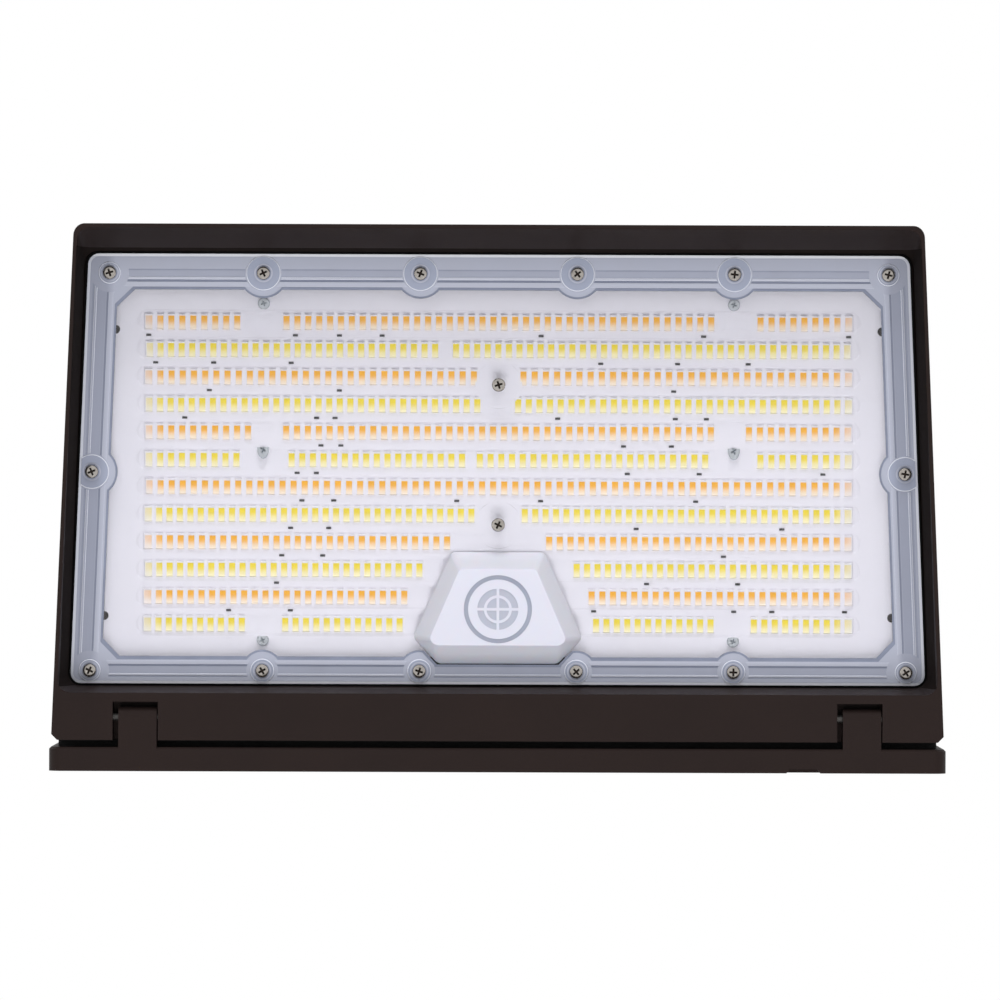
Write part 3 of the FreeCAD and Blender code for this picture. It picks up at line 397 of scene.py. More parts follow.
finishes = {
    "hingeSteel": mottled("dull hinge pin steel", {
        "Colour": srgb(122, 120, 118), "Other": srgb(100, 98, 97), "Patch": 200.0, "Grain": 2200.0,
        "Gloss": 0.45, "Gloss change": 0.1, "Bump": 0.15, "Depth": 0.00003}, Metallic=0.9),
    # near black, darker than the rubber, as painted shade for the gap round the lens
    "shadedLipRubber": mottled("lens gasket lip", {
        "Colour": srgb(14, 14, 15), "Other": srgb(10, 10, 11), "Patch": 60.0, "Grain": 1600.0,
        "Gloss": 0.85, "Gloss change": 0.1, "Bump": 0.2, "Depth": 0.00006}, Specular_IOR_Level=0.1),
    "blackRubber": mottled("black rubber", {
        "Colour": srgb(28, 28, 29), "Other": srgb(22, 22, 23), "Patch": 60.0, "Grain": 1600.0,
        "Gloss": 0.75, "Gloss change": 0.1, "Bump": 0.3, "Depth": 0.00008}),
    "stainless": mottled("stainless steel", {
        "Colour": srgb(196, 190, 184), "Other": srgb(168, 163, 158), "Patch": 300.0, "Grain": 2600.0,
        "Gloss": 0.24, "Gloss change": 0.12, "Bump": 0.12, "Depth": 0.00003}, Metallic=1.0),
    "zincSteel": mottled("zinc plated steel", {
        "Colour": srgb(196, 206, 214), "Other": srgb(172, 184, 194), "Patch": 260.0, "Grain": 2400.0,
        "Gloss": 0.34, "Gloss change": 0.15, "Bump": 0.12, "Depth": 0.00003}, Metallic=0.75),
    "brass": mottled("ground screw brass", {
        "Colour": srgb(184, 148, 82), "Other": srgb(158, 124, 66), "Patch": 220.0, "Grain": 2000.0,
        "Gloss": 0.3, "Gloss change": 0.15, "Bump": 0.1, "Depth": 0.00003}, Metallic=1.0),
    "boardWhite": mottled("white board coat", {
        "Colour": srgb(240, 238, 244), "Other": srgb(233, 232, 239), "Patch": 18.0, "Grain": 1200.0,
        "Gloss": 0.4, "Gloss change": 0.08, "Bump": 0.08, "Depth": 0.00003}),
    "padGrey": mottled("thermal pad", {
        "Colour": srgb(150, 156, 160), "Other": srgb(138, 144, 149), "Patch": 40.0, "Grain": 1500.0,
        "Gloss": 0.7, "Gloss change": 0.08, "Bump": 0.2, "Depth": 0.00005}),
    "chipBlack": mottled("resistor body", {
        "Colour": srgb(58, 56, 60), "Other": srgb(46, 45, 48), "Patch": 500.0, "Grain": 3000.0,
        "Gloss": 0.4, "Gloss change": 0.1, "Bump": 0.1, "Depth": 0.00002}),
    "whitePlastic": mottled("white moulded plastic", {
        "Colour": srgb(226, 226, 224), "Other": srgb(217, 217, 216), "Patch": 50.0, "Grain": 1800.0,
        "Gloss": 0.38, "Gloss change": 0.08, "Bump": 0.12, "Depth": 0.00003}),
    "sensorGreen": mottled("sensor board coat", {
        "Colour": srgb(32, 84, 58), "Other": srgb(28, 74, 52), "Patch": 120.0, "Grain": 2000.0,
        "Gloss": 0.35, "Gloss change": 0.08, "Bump": 0.1, "Depth": 0.00002}),
    "driverSteel": mottled("driver case sheet", {
        "Colour": srgb(186, 188, 190), "Other": srgb(172, 175, 178), "Patch": 45.0, "Grain": 1500.0,
        "Gloss": 0.36, "Gloss change": 0.12, "Bump": 0.12, "Depth": 0.00003}, Metallic=0.85),
    "blackPlastic": mottled("black moulded plastic", {
        "Colour": srgb(34, 34, 36), "Other": srgb(28, 28, 30), "Patch": 70.0, "Grain": 1700.0,
        "Gloss": 0.45, "Gloss change": 0.08, "Bump": 0.2, "Depth": 0.00004}),
    "knobWhite": mottled("switch slider plastic", {
        "Colour": srgb(236, 236, 232), "Other": srgb(226, 226, 222), "Patch": 300.0, "Grain": 2500.0,
        "Gloss": 0.34, "Gloss change": 0.06, "Bump": 0.12, "Depth": 0.00002}),
    "terminalGrey": mottled("terminal block plastic", {
        "Colour": srgb(200, 203, 202), "Other": srgb(188, 191, 190), "Patch": 90.0, "Grain": 1700.0,
        "Gloss": 0.42, "Gloss change": 0.08, "Bump": 0.15, "Depth": 0.00003}),
    "leadJacket": mottled("lead jacket", {
        "Colour": srgb(30, 30, 32), "Other": srgb(24, 24, 26), "Patch": 90.0, "Grain": 1500.0,
        "Gloss": 0.5, "Gloss change": 0.08, "Bump": 0.15, "Depth": 0.00004}),
}


def slopeShare(tree, gain):
    # 0 on faces that look straight up, down or sideways, 1 on slopes steep enough for the gain
    face = splitAxes(tree, tree.nodes.new("ShaderNodeTexCoord").outputs["Normal"])
    upward = mathNode(tree, "ABSOLUTE", face["Z"])
    level = mathNode(tree, "MULTIPLY", upward, mathNode(tree, "SUBTRACT", 1.0, upward))
    return mathNode(tree, "MINIMUM", 1.0, mathNode(tree, "MULTIPLY", level, gain))


def sideReach(tree, axes, taper):
    # distance from the middle, less what the outline widens towards the wall
    across = mathNode(tree, "ABSOLUTE", axes["X"])
    return mathNode(tree, "SUBTRACT", across, mathNode(tree, "MULTIPLY", axes["Y"], taper))


def cloudOver(tree, colour, other, share, scale):
    cloud = noiseNode(tree, objectPlace(tree), scale, 3.0, 0.6)
    return mixColours(tree, mathNode(tree, "MULTIPLY", cloud, share), colour, other)


def rippleNormal(tree, bsdf, scale, strength):
    ripple = noiseNode(tree, objectPlace(tree), scale, 2.0, 0.5)
    tree.links.new(bumpNormal(tree, ripple, strength, 0.0001), bsdf.inputs["Normal"])


def passLight(tree, bsdf, share):
    # this share of the lamp light goes straight through, the camera sees the plastic whole
    shadow = tree.nodes.new("ShaderNodeLightPath").outputs["Is Shadow Ray"]
    alpha = mathNode(tree, "SUBTRACT", 1.0, mathNode(tree, "MULTIPLY", shadow, share))
    tree.links.new(alpha, bsdf.inputs["Alpha"])


clearIor = 1.58
coatRecess = {
    "wall": 0.1755, "taper": 0.0367, "frontY": -0.2085, "rearY": -0.0335, "floorZ": -0.076,
    # the colour and share with which the recess walls are darkened as painted shade
    "recessShade": srgb(18, 15, 14), "recessShadeShare": 0.6,
}


def makeCoatFinish():
    # satin powder coat, dull on the walls of the light recess, where its colour is darkened as painted
    # shade
    material, tree, bsdf = newMaterial("bronze powder coat")
    coat = placeGroup(tree, mottle, {
        "Colour": srgb(38, 29, 27), "Other": srgb(33, 26, 25), "Patch": 35.0, "Grain": 1400.0,
        "Gloss": 0.5, "Gloss change": 0.1, "Bump": 0.3, "Depth": 0.0001})
    axes = splitAxes(tree, objectPlace(tree))
    across = sideReach(tree, axes, coatRecess["taper"])
    inside = mathNode(tree, "LESS_THAN", across, coatRecess["wall"])
    for operation, axis, limit in (("GREATER_THAN", "Y", "frontY"), ("LESS_THAN", "Y", "rearY"),
                                   ("LESS_THAN", "Z", "floorZ")):
        within = mathNode(tree, operation, axes[axis], coatRecess[limit])
        inside = mathNode(tree, "MULTIPLY", inside, within)
    # painted shade: inside the recess the coat is mixed towards the near black colour
    share = mathNode(tree, "MULTIPLY", inside, coatRecess["recessShadeShare"])
    colour = mixColours(tree, share, coat.outputs["Colour"], coatRecess["recessShade"])
    gloss = mathNode(tree, "MAXIMUM", coat.outputs["Roughness"], inside)
    tree.links.new(colour, bsdf.inputs["Base Color"])
    tree.links.new(gloss, bsdf.inputs["Roughness"])
    tree.links.new(coat.outputs["Normal"], bsdf.inputs["Normal"])
    bsdf.inputs["Specular IOR Level"].default_value = 0.12
    return material


# painted light on the flange: the groove, seat and side colours are painted shade, the front and rear
# edge colour and the slope colour are painted highlight
flangeTone = {
    "groove": srgb(112, 118, 136), "face": srgb(182, 184, 197), "grooveZ": -0.0795, "faceZ": -0.08025,
    "seat": srgb(148, 154, 173), "ridgeZ": -0.0803, "seatZ": -0.08055,
    "cloud": srgb(168, 174, 196), "cloudShare": 0.4,
    "side": srgb(122, 126, 142), "sideShadeShare": 0.5, "sideFrom": 0.1615, "sideTo": 0.1645,
    "edgeHighlight": srgb(244, 245, 250), "edgeHighlightShare": 0.8, "frontEdge": -0.2052, "rearEdge": -0.0352,
    "slope": srgb(232, 234, 243), "slopeShare": 0.75, "slopeGain": 22.0,
    "taper": 0.0396, "gloss": 0.22, "slopeGloss": 0.4, "lightPassed": 0.7,
}


def makeFlangeFinish():
    # clear plastic over the dark casting: bluish grey, with painted shade in the deep grooves, on the
    # screw seats and towards the sides, and painted highlight on the rounded front and rear edges and
    # on slopes
    material, tree, bsdf = newMaterial("lens flange plastic")
    tones = flangeTone
    # painted shade: the grooves take a darker colour the deeper they lie
    tone = placeGroup(tree, heightTone, {
        "Deep": tones["groove"], "Proud": tones["face"],
        "Deep Z": tones["grooveZ"], "Proud Z": tones["faceZ"]})
    colour = cloudOver(tree, tone.outputs["Colour"], tones["cloud"], tones["cloudShare"], 70.0)
    # painted shadow: the raised screw seats take a darker colour, as if shaded by the screw heads
    seat = placeGroup(tree, heightTone, {
        "Deep": tones["face"], "Proud": tones["seat"],
        "Deep Z": tones["ridgeZ"], "Proud Z": tones["seatZ"]})
    colour = mixColours(tree, seat.outputs["Share"], colour, seat.outputs["Colour"])
    # painted shade: the flange darkens towards its left and right sides, where its reflection of the
    # lamps is dimmer
    axes = splitAxes(tree, objectPlace(tree))
    across = sideReach(tree, axes, tones["taper"])
    sides = rangeShare(tree, across, tones["sideFrom"], tones["sideTo"], tones["sideShadeShare"])
    colour = mixColours(tree, sides, colour, tones["side"])
    # painted highlight: a near white strip along the flange's front and rear edges
    edgeHighlights = mathNode(tree, "MAXIMUM",
                    mathNode(tree, "LESS_THAN", axes["Y"], tones["frontEdge"]),
                    mathNode(tree, "GREATER_THAN", axes["Y"], tones["rearEdge"]))
    edgeHighlights = mathNode(tree, "MULTIPLY", edgeHighlights, tones["edgeHighlightShare"])
    colour = mixColours(tree, edgeHighlights, colour, tones["edgeHighlight"])
    # painted highlight: sloping faces, such as the bevelled edges and seat rings, are lightened
    slope = slopeShare(tree, tones["slopeGain"])
    slopeHighlight = mathNode(tree, "MULTIPLY", slope, tones["slopeShare"])
    colour = mixColours(tree, slopeHighlight, colour, tones["slope"])
    dull = mathNode(tree, "MULTIPLY", slope, tones["slopeGloss"])
    tree.links.new(colour, bsdf.inputs["Base Color"])
    tree.links.new(mathNode(tree, "ADD", tones["gloss"], dull), bsdf.inputs["Roughness"])
    rippleNormal(tree, bsdf, 240.0, 0.1)
    passLight(tree, bsdf, tones["lightPassed"])
    bsdf.inputs["IOR"].default_value = clearIor
    return material


def makeWindowFinish():
    # clear plastic that bends what lies behind it
    material, tree, bsdf = newMaterial("lens window plastic")
    cloud = noiseNode(tree, objectPlace(tree), 30.0, 3.0, 0.5)
    colour = mixColours(tree, cloud, srgb(246, 246, 250), srgb(250, 250, 253))
    tree.links.new(colour, bsdf.inputs["Base Color"])
    rippleNormal(tree, bsdf, 110.0, 0.05)
    passLight(tree, bsdf, 0.97)
    bsdf.inputs["Roughness"].default_value = 0.04
    bsdf.inputs["IOR"].default_value = clearIor
    bsdf.inputs["Transmission Weight"].default_value = 1.0
    return material


# the groove colour is painted shade in the sunk ring and facets of the bay's face
bayTone = {
    "groove": srgb(142, 147, 163), "face": srgb(203, 203, 215), "grooveZ": -0.0856, "faceZ": -0.08605,
    "slope": srgb(204, 204, 213), "slopeGain": 6.0, "slopeZ": -0.0853, "crownZ": -0.0855,
    "cloud": srgb(200, 203, 216), "cloudShare": 0.25,
}


def makeBayFinish():
    # frosted plastic, even all round, with the grooves of its face greyer as painted shade
    material, tree, bsdf = newMaterial("frosted sensor bay plastic")
    # painted shade: the sunk ring and facets take the greyer groove colour
    tone = placeGroup(tree, heightTone, {
        "Deep": bayTone["groove"], "Proud": bayTone["face"],
        "Deep Z": bayTone["grooveZ"], "Proud Z": bayTone["faceZ"]})
    height = placeGroup(tree, heightTone, {
        "Deep": bayTone["slope"], "Proud": bayTone["face"],
        "Deep Z": bayTone["slopeZ"], "Proud Z": bayTone["crownZ"]})
    flat = mathNode(tree, "SUBTRACT", 1.0, slopeShare(tree, bayTone["slopeGain"]))
    colour = mixColours(tree, mathNode(tree, "MULTIPLY", flat, height.outputs["Share"]),
                        height.outputs["Colour"], tone.outputs["Colour"])
    colour = cloudOver(tree, colour, bayTone["cloud"], bayTone["cloudShare"], 70.0)
    tree.links.new(colour, bsdf.inputs["Base Color"])
    rippleNormal(tree, bsdf, 700.0, 0.12)
    bsdf.inputs["Roughness"].default_value = 0.32
    bsdf.inputs["Subsurface Weight"].default_value = 0.15
    bsdf.inputs["Subsurface Scale"].default_value = 0.004
    return material


phosphor = {
    "strongTo": 0.3, "paleFrom": 0.95, "frameSide": 0.43, "frameFront": 0.1,
    "endsFrom": 0.1345, "endsTo": 0.141, "endsShare": 0.6,
}


def makePhosphor(name, deep, pale, white):
    # strong colour at the end nearer the front, pale towards the wall, as the bars show it;
    # the chip's own place is in its UV map, and the chips at the row ends are paler
    material, tree, bsdf = newMaterial(name)
    onChip = splitAxes(tree, tree.nodes.new("ShaderNodeUVMap").outputs["UV"])
    fade = rangeShare(tree, onChip["Y"], phosphor["strongTo"], phosphor["paleFrom"],
                      curve="SMOOTHSTEP")
    colour = mixColours(tree, fade, deep, pale)
    across = mathNode(tree, "ABSOLUTE", splitAxes(tree, objectPlace(tree))["X"])
    ends = rangeShare(tree, across, phosphor["endsFrom"], phosphor["endsTo"], phosphor["endsShare"])
    colour = mixColours(tree, ends, colour, white)
    side = mathNode(tree, "ABSOLUTE", mathNode(tree, "SUBTRACT", onChip["X"], 0.5))
    frame = mathNode(tree, "MAXIMUM",
                     mathNode(tree, "GREATER_THAN", side, phosphor["frameSide"]),
                     mathNode(tree, "LESS_THAN", onChip["Y"], phosphor["frameFront"]))
    colour = mixColours(tree, frame, colour, white)
    tree.links.new(colour, bsdf.inputs["Base Color"])
    bsdf.inputs["Roughness"].default_value = 0.4
    bsdf.inputs["Specular IOR Level"].default_value = 0.3
    return material


def makeHeadFinish(name, deep, proud, deepZ, proudZ, metallic):
    # a crown lightened as painted highlight over a cross recess and foot darkened as painted shade
    material, tree, bsdf = newMaterial(name)
    tone = placeGroup(tree, heightTone, {
        "Deep": deep, "Proud": proud, "Deep Z": deepZ, "Proud Z": proudZ})
    grain = placeGroup(tree, mottle, {
        "Colour": srgb(255, 255, 255), "Other": srgb(214, 210, 206), "Patch": 420.0, "Grain": 2600.0,
        "Gloss": 0.26, "Gloss change": 0.14, "Bump": 0.12, "Depth": 0.00003})
    colour = mixColours(tree, 1.0, tone.outputs["Colour"], grain.outputs["Colour"], "MULTIPLY")
    tree.links.new(colour, bsdf.inputs["Base Color"])
    tree.links.new(grain.outputs["Roughness"], bsdf.inputs["Roughness"])
    tree.links.new(grain.outputs["Normal"], bsdf.inputs["Normal"])
    bsdf.inputs["Metallic"].default_value = metallic
    return material


finishes["bronzeCoat"] = makeCoatFinish()
# the light crown and the dark recess and foot colours are painted highlight and painted shade
finishes["screwCrown"] = makeHeadFinish(
    "stainless screw head", deep=srgb(64, 56, 52), proud=srgb(232, 227, 221),
    deepZ=-0.0816, proudZ=-0.0823, metallic=0.95)
finishes["boardCrown"] = makeHeadFinish(
    "zinc screw head", deep=srgb(170, 182, 190), proud=srgb(222, 230, 235),
    deepZ=-0.0748, proudZ=-0.0752, metallic=0.5)
finishes["lensFlange"] = makeFlangeFinish()
finishes["lensWindow"] = makeWindowFinish()
finishes["sensorBay"] = makeBayFinish()
finishes["warmPhosphor"] = makePhosphor(
    "warm phosphor", deep=srgb(252, 182, 38), pale=srgb(252, 236, 212), white=srgb(236, 232, 236))
finishes["coolPhosphor"] = makePhosphor(
    "cool phosphor", deep=srgb(246, 222, 50), pale=srgb(252, 244, 196), white=srgb(236, 234, 236))

nodeFinish = {
    "back_plate": "bronzeCoat", "housing": "bronzeCoat", "wall_gasket": "blackRubber",
    "wire_grommet": "blackRubber", "housing_seal": "blackRubber", "lens_gasket": "blackRubber",
    "ground_screw": "brass", "hinge_pins": "hingeSteel", "lens_screws": "stainless",
    "centre_screws": "stainless", "board_screws": "zincSteel", "driver_screws": "zincSteel",
    "terminal_screws": "zincSteel", "closing_screw_left": "stainless",
    "closing_screw_right": "stainless", "closing_washer_left": "stainless",
    "closing_washer_right": "stainless", "lens": "lensFlange", "led_board": "boardWhite",
    "thermal_pad": "padGrey", "board_connector": "whitePlastic", "warm_leds": "warmPhosphor",
    "cool_leds": "coolPhosphor", "board_resistors": "chipBlack", "sensor_holder": "whitePlastic",
    "sensor_board": "sensorGreen", "sensor_element": "whitePlastic", "driver_case": "driverSteel",
    "driver_caps": "driverSteel", "power_switch": "blackPlastic", "power_knob": "knobWhite",
    "colour_switch": "blackPlastic", "colour_knob": "knobWhite", "surge_protector": "blackPlastic",
    "terminal_block": "terminalGrey", "supply_lead": "leadJacket", "light_lead": "leadJacket",
}
for name, finish in nodeFinish.items():
    for place in nodes[name].material_slots:
        place.material = finishes[finish]
print("materials made:", len(finishes))


# camera, floor, lamps and background

view = {
    "x": 0.7, "y": -108.1, "z": -2600.0, "focal": 226.8, "sensor": 36.0, "roll": -0.0034,
    "far": 50.0,
}
lamps = [
    {"name": "lampLeft", "place": (-1.15, -1.5, -1.75), "size": 1.3, "power": 10.5},
    {"name": "lampRight", "place": (1.15, -1.5, -1.75), "size": 1.3, "power": 10.5},
    {"name": "lampBack", "place": (0.0, 0.85, -1.95), "size": 1.2, "power": 30.0},
    {"name": "lampTop", "place": (-0.9, -1.2, 1.9), "size": 1.4, "power": 34.0},
    {"name": "lampFront", "place": (0.0, -2.2, -0.7), "size": 1.0, "power": 24.0},
]
lampTarget = Vector((0.0, -0.108, -0.05))
studio = {
    "floorSize": 12.0, "floorZ": -2.95, "floorGlow": 0.45, "ambient": 0.43, "white": 1.0,
}

cameraData = bpy.data.cameras.new("camera")
cameraData.sensor_width = view["sensor"]
cameraData.lens = view["focal"]
cameraData.clip_end = view["far"]
camera = bpy.data.objects.new("camera", cameraData)
camera.location = (view["x"] * mm, view["y"] * mm, view["z"] * mm)
camera.rotation_euler = (math.pi, 0.0, view["roll"])
bpy.context.scene.collection.objects.link(camera)
bpy.context.scene.camera = camera

for lamp in lamps:
    data = bpy.data.lights.new(lamp["name"], "AREA")
    data.size = lamp["size"]
    data.energy = lamp["power"]
    obj = bpy.data.objects.new(lamp["name"], data)
    obj.location = lamp["place"]
    # no lamp shows in the clear domes, and the rear one would draw a white line through each
    obj.visible_glossy = False
    obj.visible_transmission = lamp["name"] != "lampBack"
    obj.rotation_euler = (lampTarget - obj.location).to_track_quat("-Z", "Y").to_euler()
    bpy.context.scene.collection.objects.link(obj)

clearSelection()
bpy.ops.mesh.primitive_plane_add(size=studio["floorSize"], location=(0, 0, studio["floorZ"]))
floor = bpy.context.object
floor.name = "studioFloor"
floorFinish, floorTree, floorShader = newMaterial("pale floor")
floorShader.inputs["Base Color"].default_value = srgb(236, 236, 236)
floorShader.inputs["Roughness"].default_value = 0.8
floorShader.inputs["Emission Color"].default_value = (1, 1, 1, 1)
floorPaths = floorTree.nodes.new("ShaderNodeLightPath")
floorGlow = mathNode(
    floorTree, "MULTIPLY", floorPaths.outputs["Is Camera Ray"], studio["floorGlow"])
floorTree.links.new(floorGlow, floorShader.inputs["Emission Strength"])
floor.data.materials.append(floorFinish)

world = bpy.data.worlds.new("studio")
bpy.context.scene.world = world
world.use_nodes = True
sky = world.node_tree
sky.nodes.clear()
paths = sky.nodes.new("ShaderNodeLightPath")
seen = mathNode(sky, "MAXIMUM", paths.outputs["Is Camera Ray"], paths.outputs["Is Glossy Ray"])
seen = mathNode(sky, "MAXIMUM", seen, paths.outputs["Is Transmission Ray"])
ambient = sky.nodes.new("ShaderNodeBackground")
ambient.inputs["Strength"].default_value = studio["ambient"]
white = sky.nodes.new("ShaderNodeBackground")
white.inputs["Strength"].default_value = studio["white"]
for glow in (ambient, white):
    glow.inputs["Color"].default_value = (1, 1, 1, 1)
choose = sky.nodes.new("ShaderNodeMixShader")
sky.links.new(seen, choose.inputs[0])
sky.links.new(ambient.outputs[0], choose.inputs[1])
sky.links.new(white.outputs[0], choose.inputs[2])
sky.links.new(choose.outputs[0], sky.nodes.new("ShaderNodeOutputWorld").inputs["Surface"])
bpy.context.scene.view_settings.view_transform = "Standard"
print("camera, lamps and floor placed")


# lens flange: a bevelled slab with grooves that stop at the screw seats

flange = {
    "edgeRun": 1.1, "edgeDrop": 0.3, "border": 0.8, "sink": 0.5,
    "grooves": [  # outer and inner insets as (front, side, rear), and depth
        {"from": (6.1, 2.2, 2.6), "to": (6.6, 3.0, 3.2), "depth": 0.3},
        {"from": (6.6, 4.3, 4.0), "to": (9.2, 7.6, 7.0), "depth": 0.15},
        {"from": (10.3, 8.0, 7.0), "to": (11.2, 8.7, 7.7), "depth": 0.55},
    ],
    "ridges": [
        {"from": (9.3, 3.1, 3.3), "to": (10.2, 4.1, 4.0), "rise": 0.2},
        {"from": (11.3, 8.8, 7.9), "to": (13.0, 10.6, 9.2), "rise": 0.12},
    ],
    "ridgeBevel": 0.12, "outerCorner": 5.0, "innerCorner": 4.0,
    "windowEdge": (14.3, 12.3, 11.0), "windowGroove": (13.2, 11.4, 9.6), "grooveDepth": 0.5,
    "seatClear": {"corner": 7.8, "side": 7.4, "front": 7.4, "rear": 6.4},
    "bulge": {"side": 9.5, "front": 9.2, "rear": 7.6}, "bulgeGroove": 0.8,
    "seatRadius": {"corner": 4.4, "side": 6.9, "front": 6.9, "rear": 4.8}, "seatBevel": 0.35,
    "ringOuter": 3.7, "ringInner": 3.1, "ringDepth": 0.25,
    "cornerCut": 7.0, "bayGap": 0.3, "bayGroove": 1.0,
}
bay = {
    "foot": [(18.5, -87.2), (33.9, -52.9), (24.0, -42.5)],
    "face": [(15.3, -80.5), (27.4, -52.4), (25.0, -50.0)],
    "blockHalf": 10, "blockY": (-90, -40),
    "rise": 5.6, "ringOuter": 13.6, "ringWidth": 1.7, "ringDepth": 0.5, "sensorY": -64.5,
    "facetRadius": 8.2, "facetDepth": 0.35, "facetGap": 1.1, "facetRing": 5.6, "armReach": 10,
    "cornerBevel": 4.5, "faceBevel": 2.4,
}


def windowOutline(name, insets, z0, z1, grow):
    # the window's outline: tapering, corners cut, bitten round the screws at its edge
    plate = addLensPlate(name, insets, z0, z1, flange["cornerCut"], segments=1)
    bites = [
        addDisc(name + "Bite", x, y, z0 - 3 * past, z1 + 3 * past, flange["bulge"][kind] + grow)
        for x, y, kind in edgeScrewPlaces() if kind in flange["bulge"]]
    combine(plate, bites, "DIFFERENCE")
    return plate


def addBayBlock(name, foot, face, z0, z1, grow=0.0):
    # a block whose corners are pulled to the bay's foot and face, in three rows from the front
    blockHalf = bay["blockHalf"]
    frontY, rearY = bay["blockY"]
    obj = addBlock(name, (-blockHalf, frontY, min(z0, z1)), (blockHalf, rearY, max(z0, z1)))
    pick(obj, "edges", lambda e: abs(edgeEnds(obj, e)[0].y - edgeEnds(obj, e)[1].y) > 10 * mm)
    bpy.ops.mesh.subdivide(number_cuts=1)
    closeEdit()
    levels = {True: face, False: foot}
    for vertex in obj.data.vertices:
        low = vertex.co.z < (z0 + z1) / 2 * mm
        row = round(2 * (vertex.co.y / mm - frontY) / (rearY - frontY))
        half, y = levels[low][row]
        side = 1 if vertex.co.x > 0 else -1
        vertex.co.x = side * (half + grow) * mm
        vertex.co.y = (y + (grow if row else -grow)) * mm
    return obj


def addLensRings(name, rings):
    # rings along the lens's outline that stop at the screw seats
    face = lensPlace["faceZ"]
    made = []
    for ring in rings:
        isRidge = "rise" in ring
        low = face - (ring["rise"] if isRidge else past)
        high = face + (flange["sink"] if isRidge else ring["depth"])
        plate = addLensPlate(name, ring["from"], low, high, flange["outerCorner"])
        hole = addLensPlate(name + "Hole", ring["to"], face - 2 * past, face + 2 * past,
                            flange["innerCorner"])
        combine(plate, [hole], "DIFFERENCE")
        if isRidge:
            bevelEdges(plate, atHeight(low), flange["ridgeBevel"], segments=2)
        made.append(plate)
    made = joined(name, made)
    clear = [
        addDisc(name + "Clear", x, y, face - 3 * past, face + 3 * past, flange["seatClear"][kind])
        for x, y, kind in edgeScrewPlaces()]
    combine(made, clear, "DIFFERENCE")
    return made


def makeFlange():
    face, back, seat = lensPlace["faceZ"], lensPlace["backZ"], lensPlace["seatZ"]
    drop, run = flange["edgeDrop"], flange["edgeRun"]
    slab = addLensPlate("lensFlange", (0, 0, 0), face + drop, back, lensPlace["corner"])
    pick(slab, "polygons", facesDown)
    bpy.ops.mesh.inset(thickness=run * mm, depth=drop * mm)
    closeEdit()
    raised = [addLensRings("ridges", flange["ridges"])]
    for x, y, kind in edgeScrewPlaces():
        boss = addDisc(
            "seatBoss", x, y, seat, face + flange["sink"], flange["seatRadius"][kind], sides=56)
        bevelEdges(boss, atHeight(seat), flange["seatBevel"], segments=3)
        raised.append(boss)
    border = addLensPlate("seatBorder", [flange["border"]] * 3, seat - past, back, lensPlace["corner"])
    raised = joined("raised", raised)
    combine(raised, [border], "INTERSECT")
    combine(slab, [raised], "UNION")
    combine(slab, [addLensRings("grooves", flange["grooves"])], "DIFFERENCE")
    depth = flange["grooveDepth"]
    ring = windowOutline("windowGroove", flange["windowGroove"], face - past, face + depth, 0.0)
    combine(slab, [ring], "DIFFERENCE")
    hole = windowOutline(
        "windowHole", flange["windowEdge"], back - 4 * past, back + past, flange["bulgeGroove"])
    combine(slab, [hole], "DIFFERENCE")
    foot = bay["foot"]
    groove = addBayBlock(
        "bayEdgeGroove", foot, foot, face - 4 * past, face + depth, flange["bayGroove"])
    hole = addBayBlock("bayEdge", foot, foot, back - 4 * past, back + past, flange["bayGap"])
    combine(slab, [groove], "DIFFERENCE")
    combine(slab, [hole], "DIFFERENCE")
    rings = []
    for x, y, kind in edgeScrewPlaces():
        ring = addDisc(
            "seatRing", x, y, seat - past, seat + flange["ringDepth"], flange["ringOuter"])
        core = addDisc("seatCore", x, y, seat - 2 * past, seat + 2 * past, flange["ringInner"])
        combine(ring, [core], "DIFFERENCE")
        rings.append(ring)
    combine(slab, rings, "DIFFERENCE")
    return slab


lensFlange = makeFlange()
smooth(lensFlange, degrees=13)
finishPiece(lensFlange, "door", "lens", finishes["lensFlange"], "lens")
print("lens flange made:", len(lensFlange.data.polygons), "faces")


# gasket lip: a black rubber lip that stands in the gap round the lens, darker than the rubber, as
# painted shade for that gap

# painted shade: this lip fills the shaded gap round the lens
gasketLip = {
    "reach": (0.9, 0.8, 0.9), "clear": 0.03, "lowZ": -79.6, "highZ": -76.02, "corner": 4.4,
    "round": 0.25,
}


def makeShadeGasketLip():
    low, high, clear = gasketLip["lowZ"], gasketLip["highZ"], gasketLip["clear"]
    outer = addLensPlate(
        "gasketLip", [-reach for reach in gasketLip["reach"]], low, high, gasketLip["corner"])
    bevelEdges(outer, atHeight(low), gasketLip["round"], segments=2)
    inner = addLensPlate(
        "gasketLipHole", [-clear] * 3, low - past, high + past, lensPlace["corner"])
    combine(outer, [inner], "DIFFERENCE")
    return outer


lip = makeShadeGasketLip()
smooth(lip, degrees=30)
finishPiece(lip, "door", "rubber", finishes["shadedLipRubber"])
print("gasket lip made")


# lens window: clear plate with twelve domed bars, clear of the screws and the sensor bay

window = {
    "barReach": 144.8, "barHeight": 9.4, "barRise": 1.5, "barSides": 72, "barRings": 39,
    "barSink": 0.5, "screwBite": 9.4, "screwHole": 1.9, "bayClear": 0.6,
}


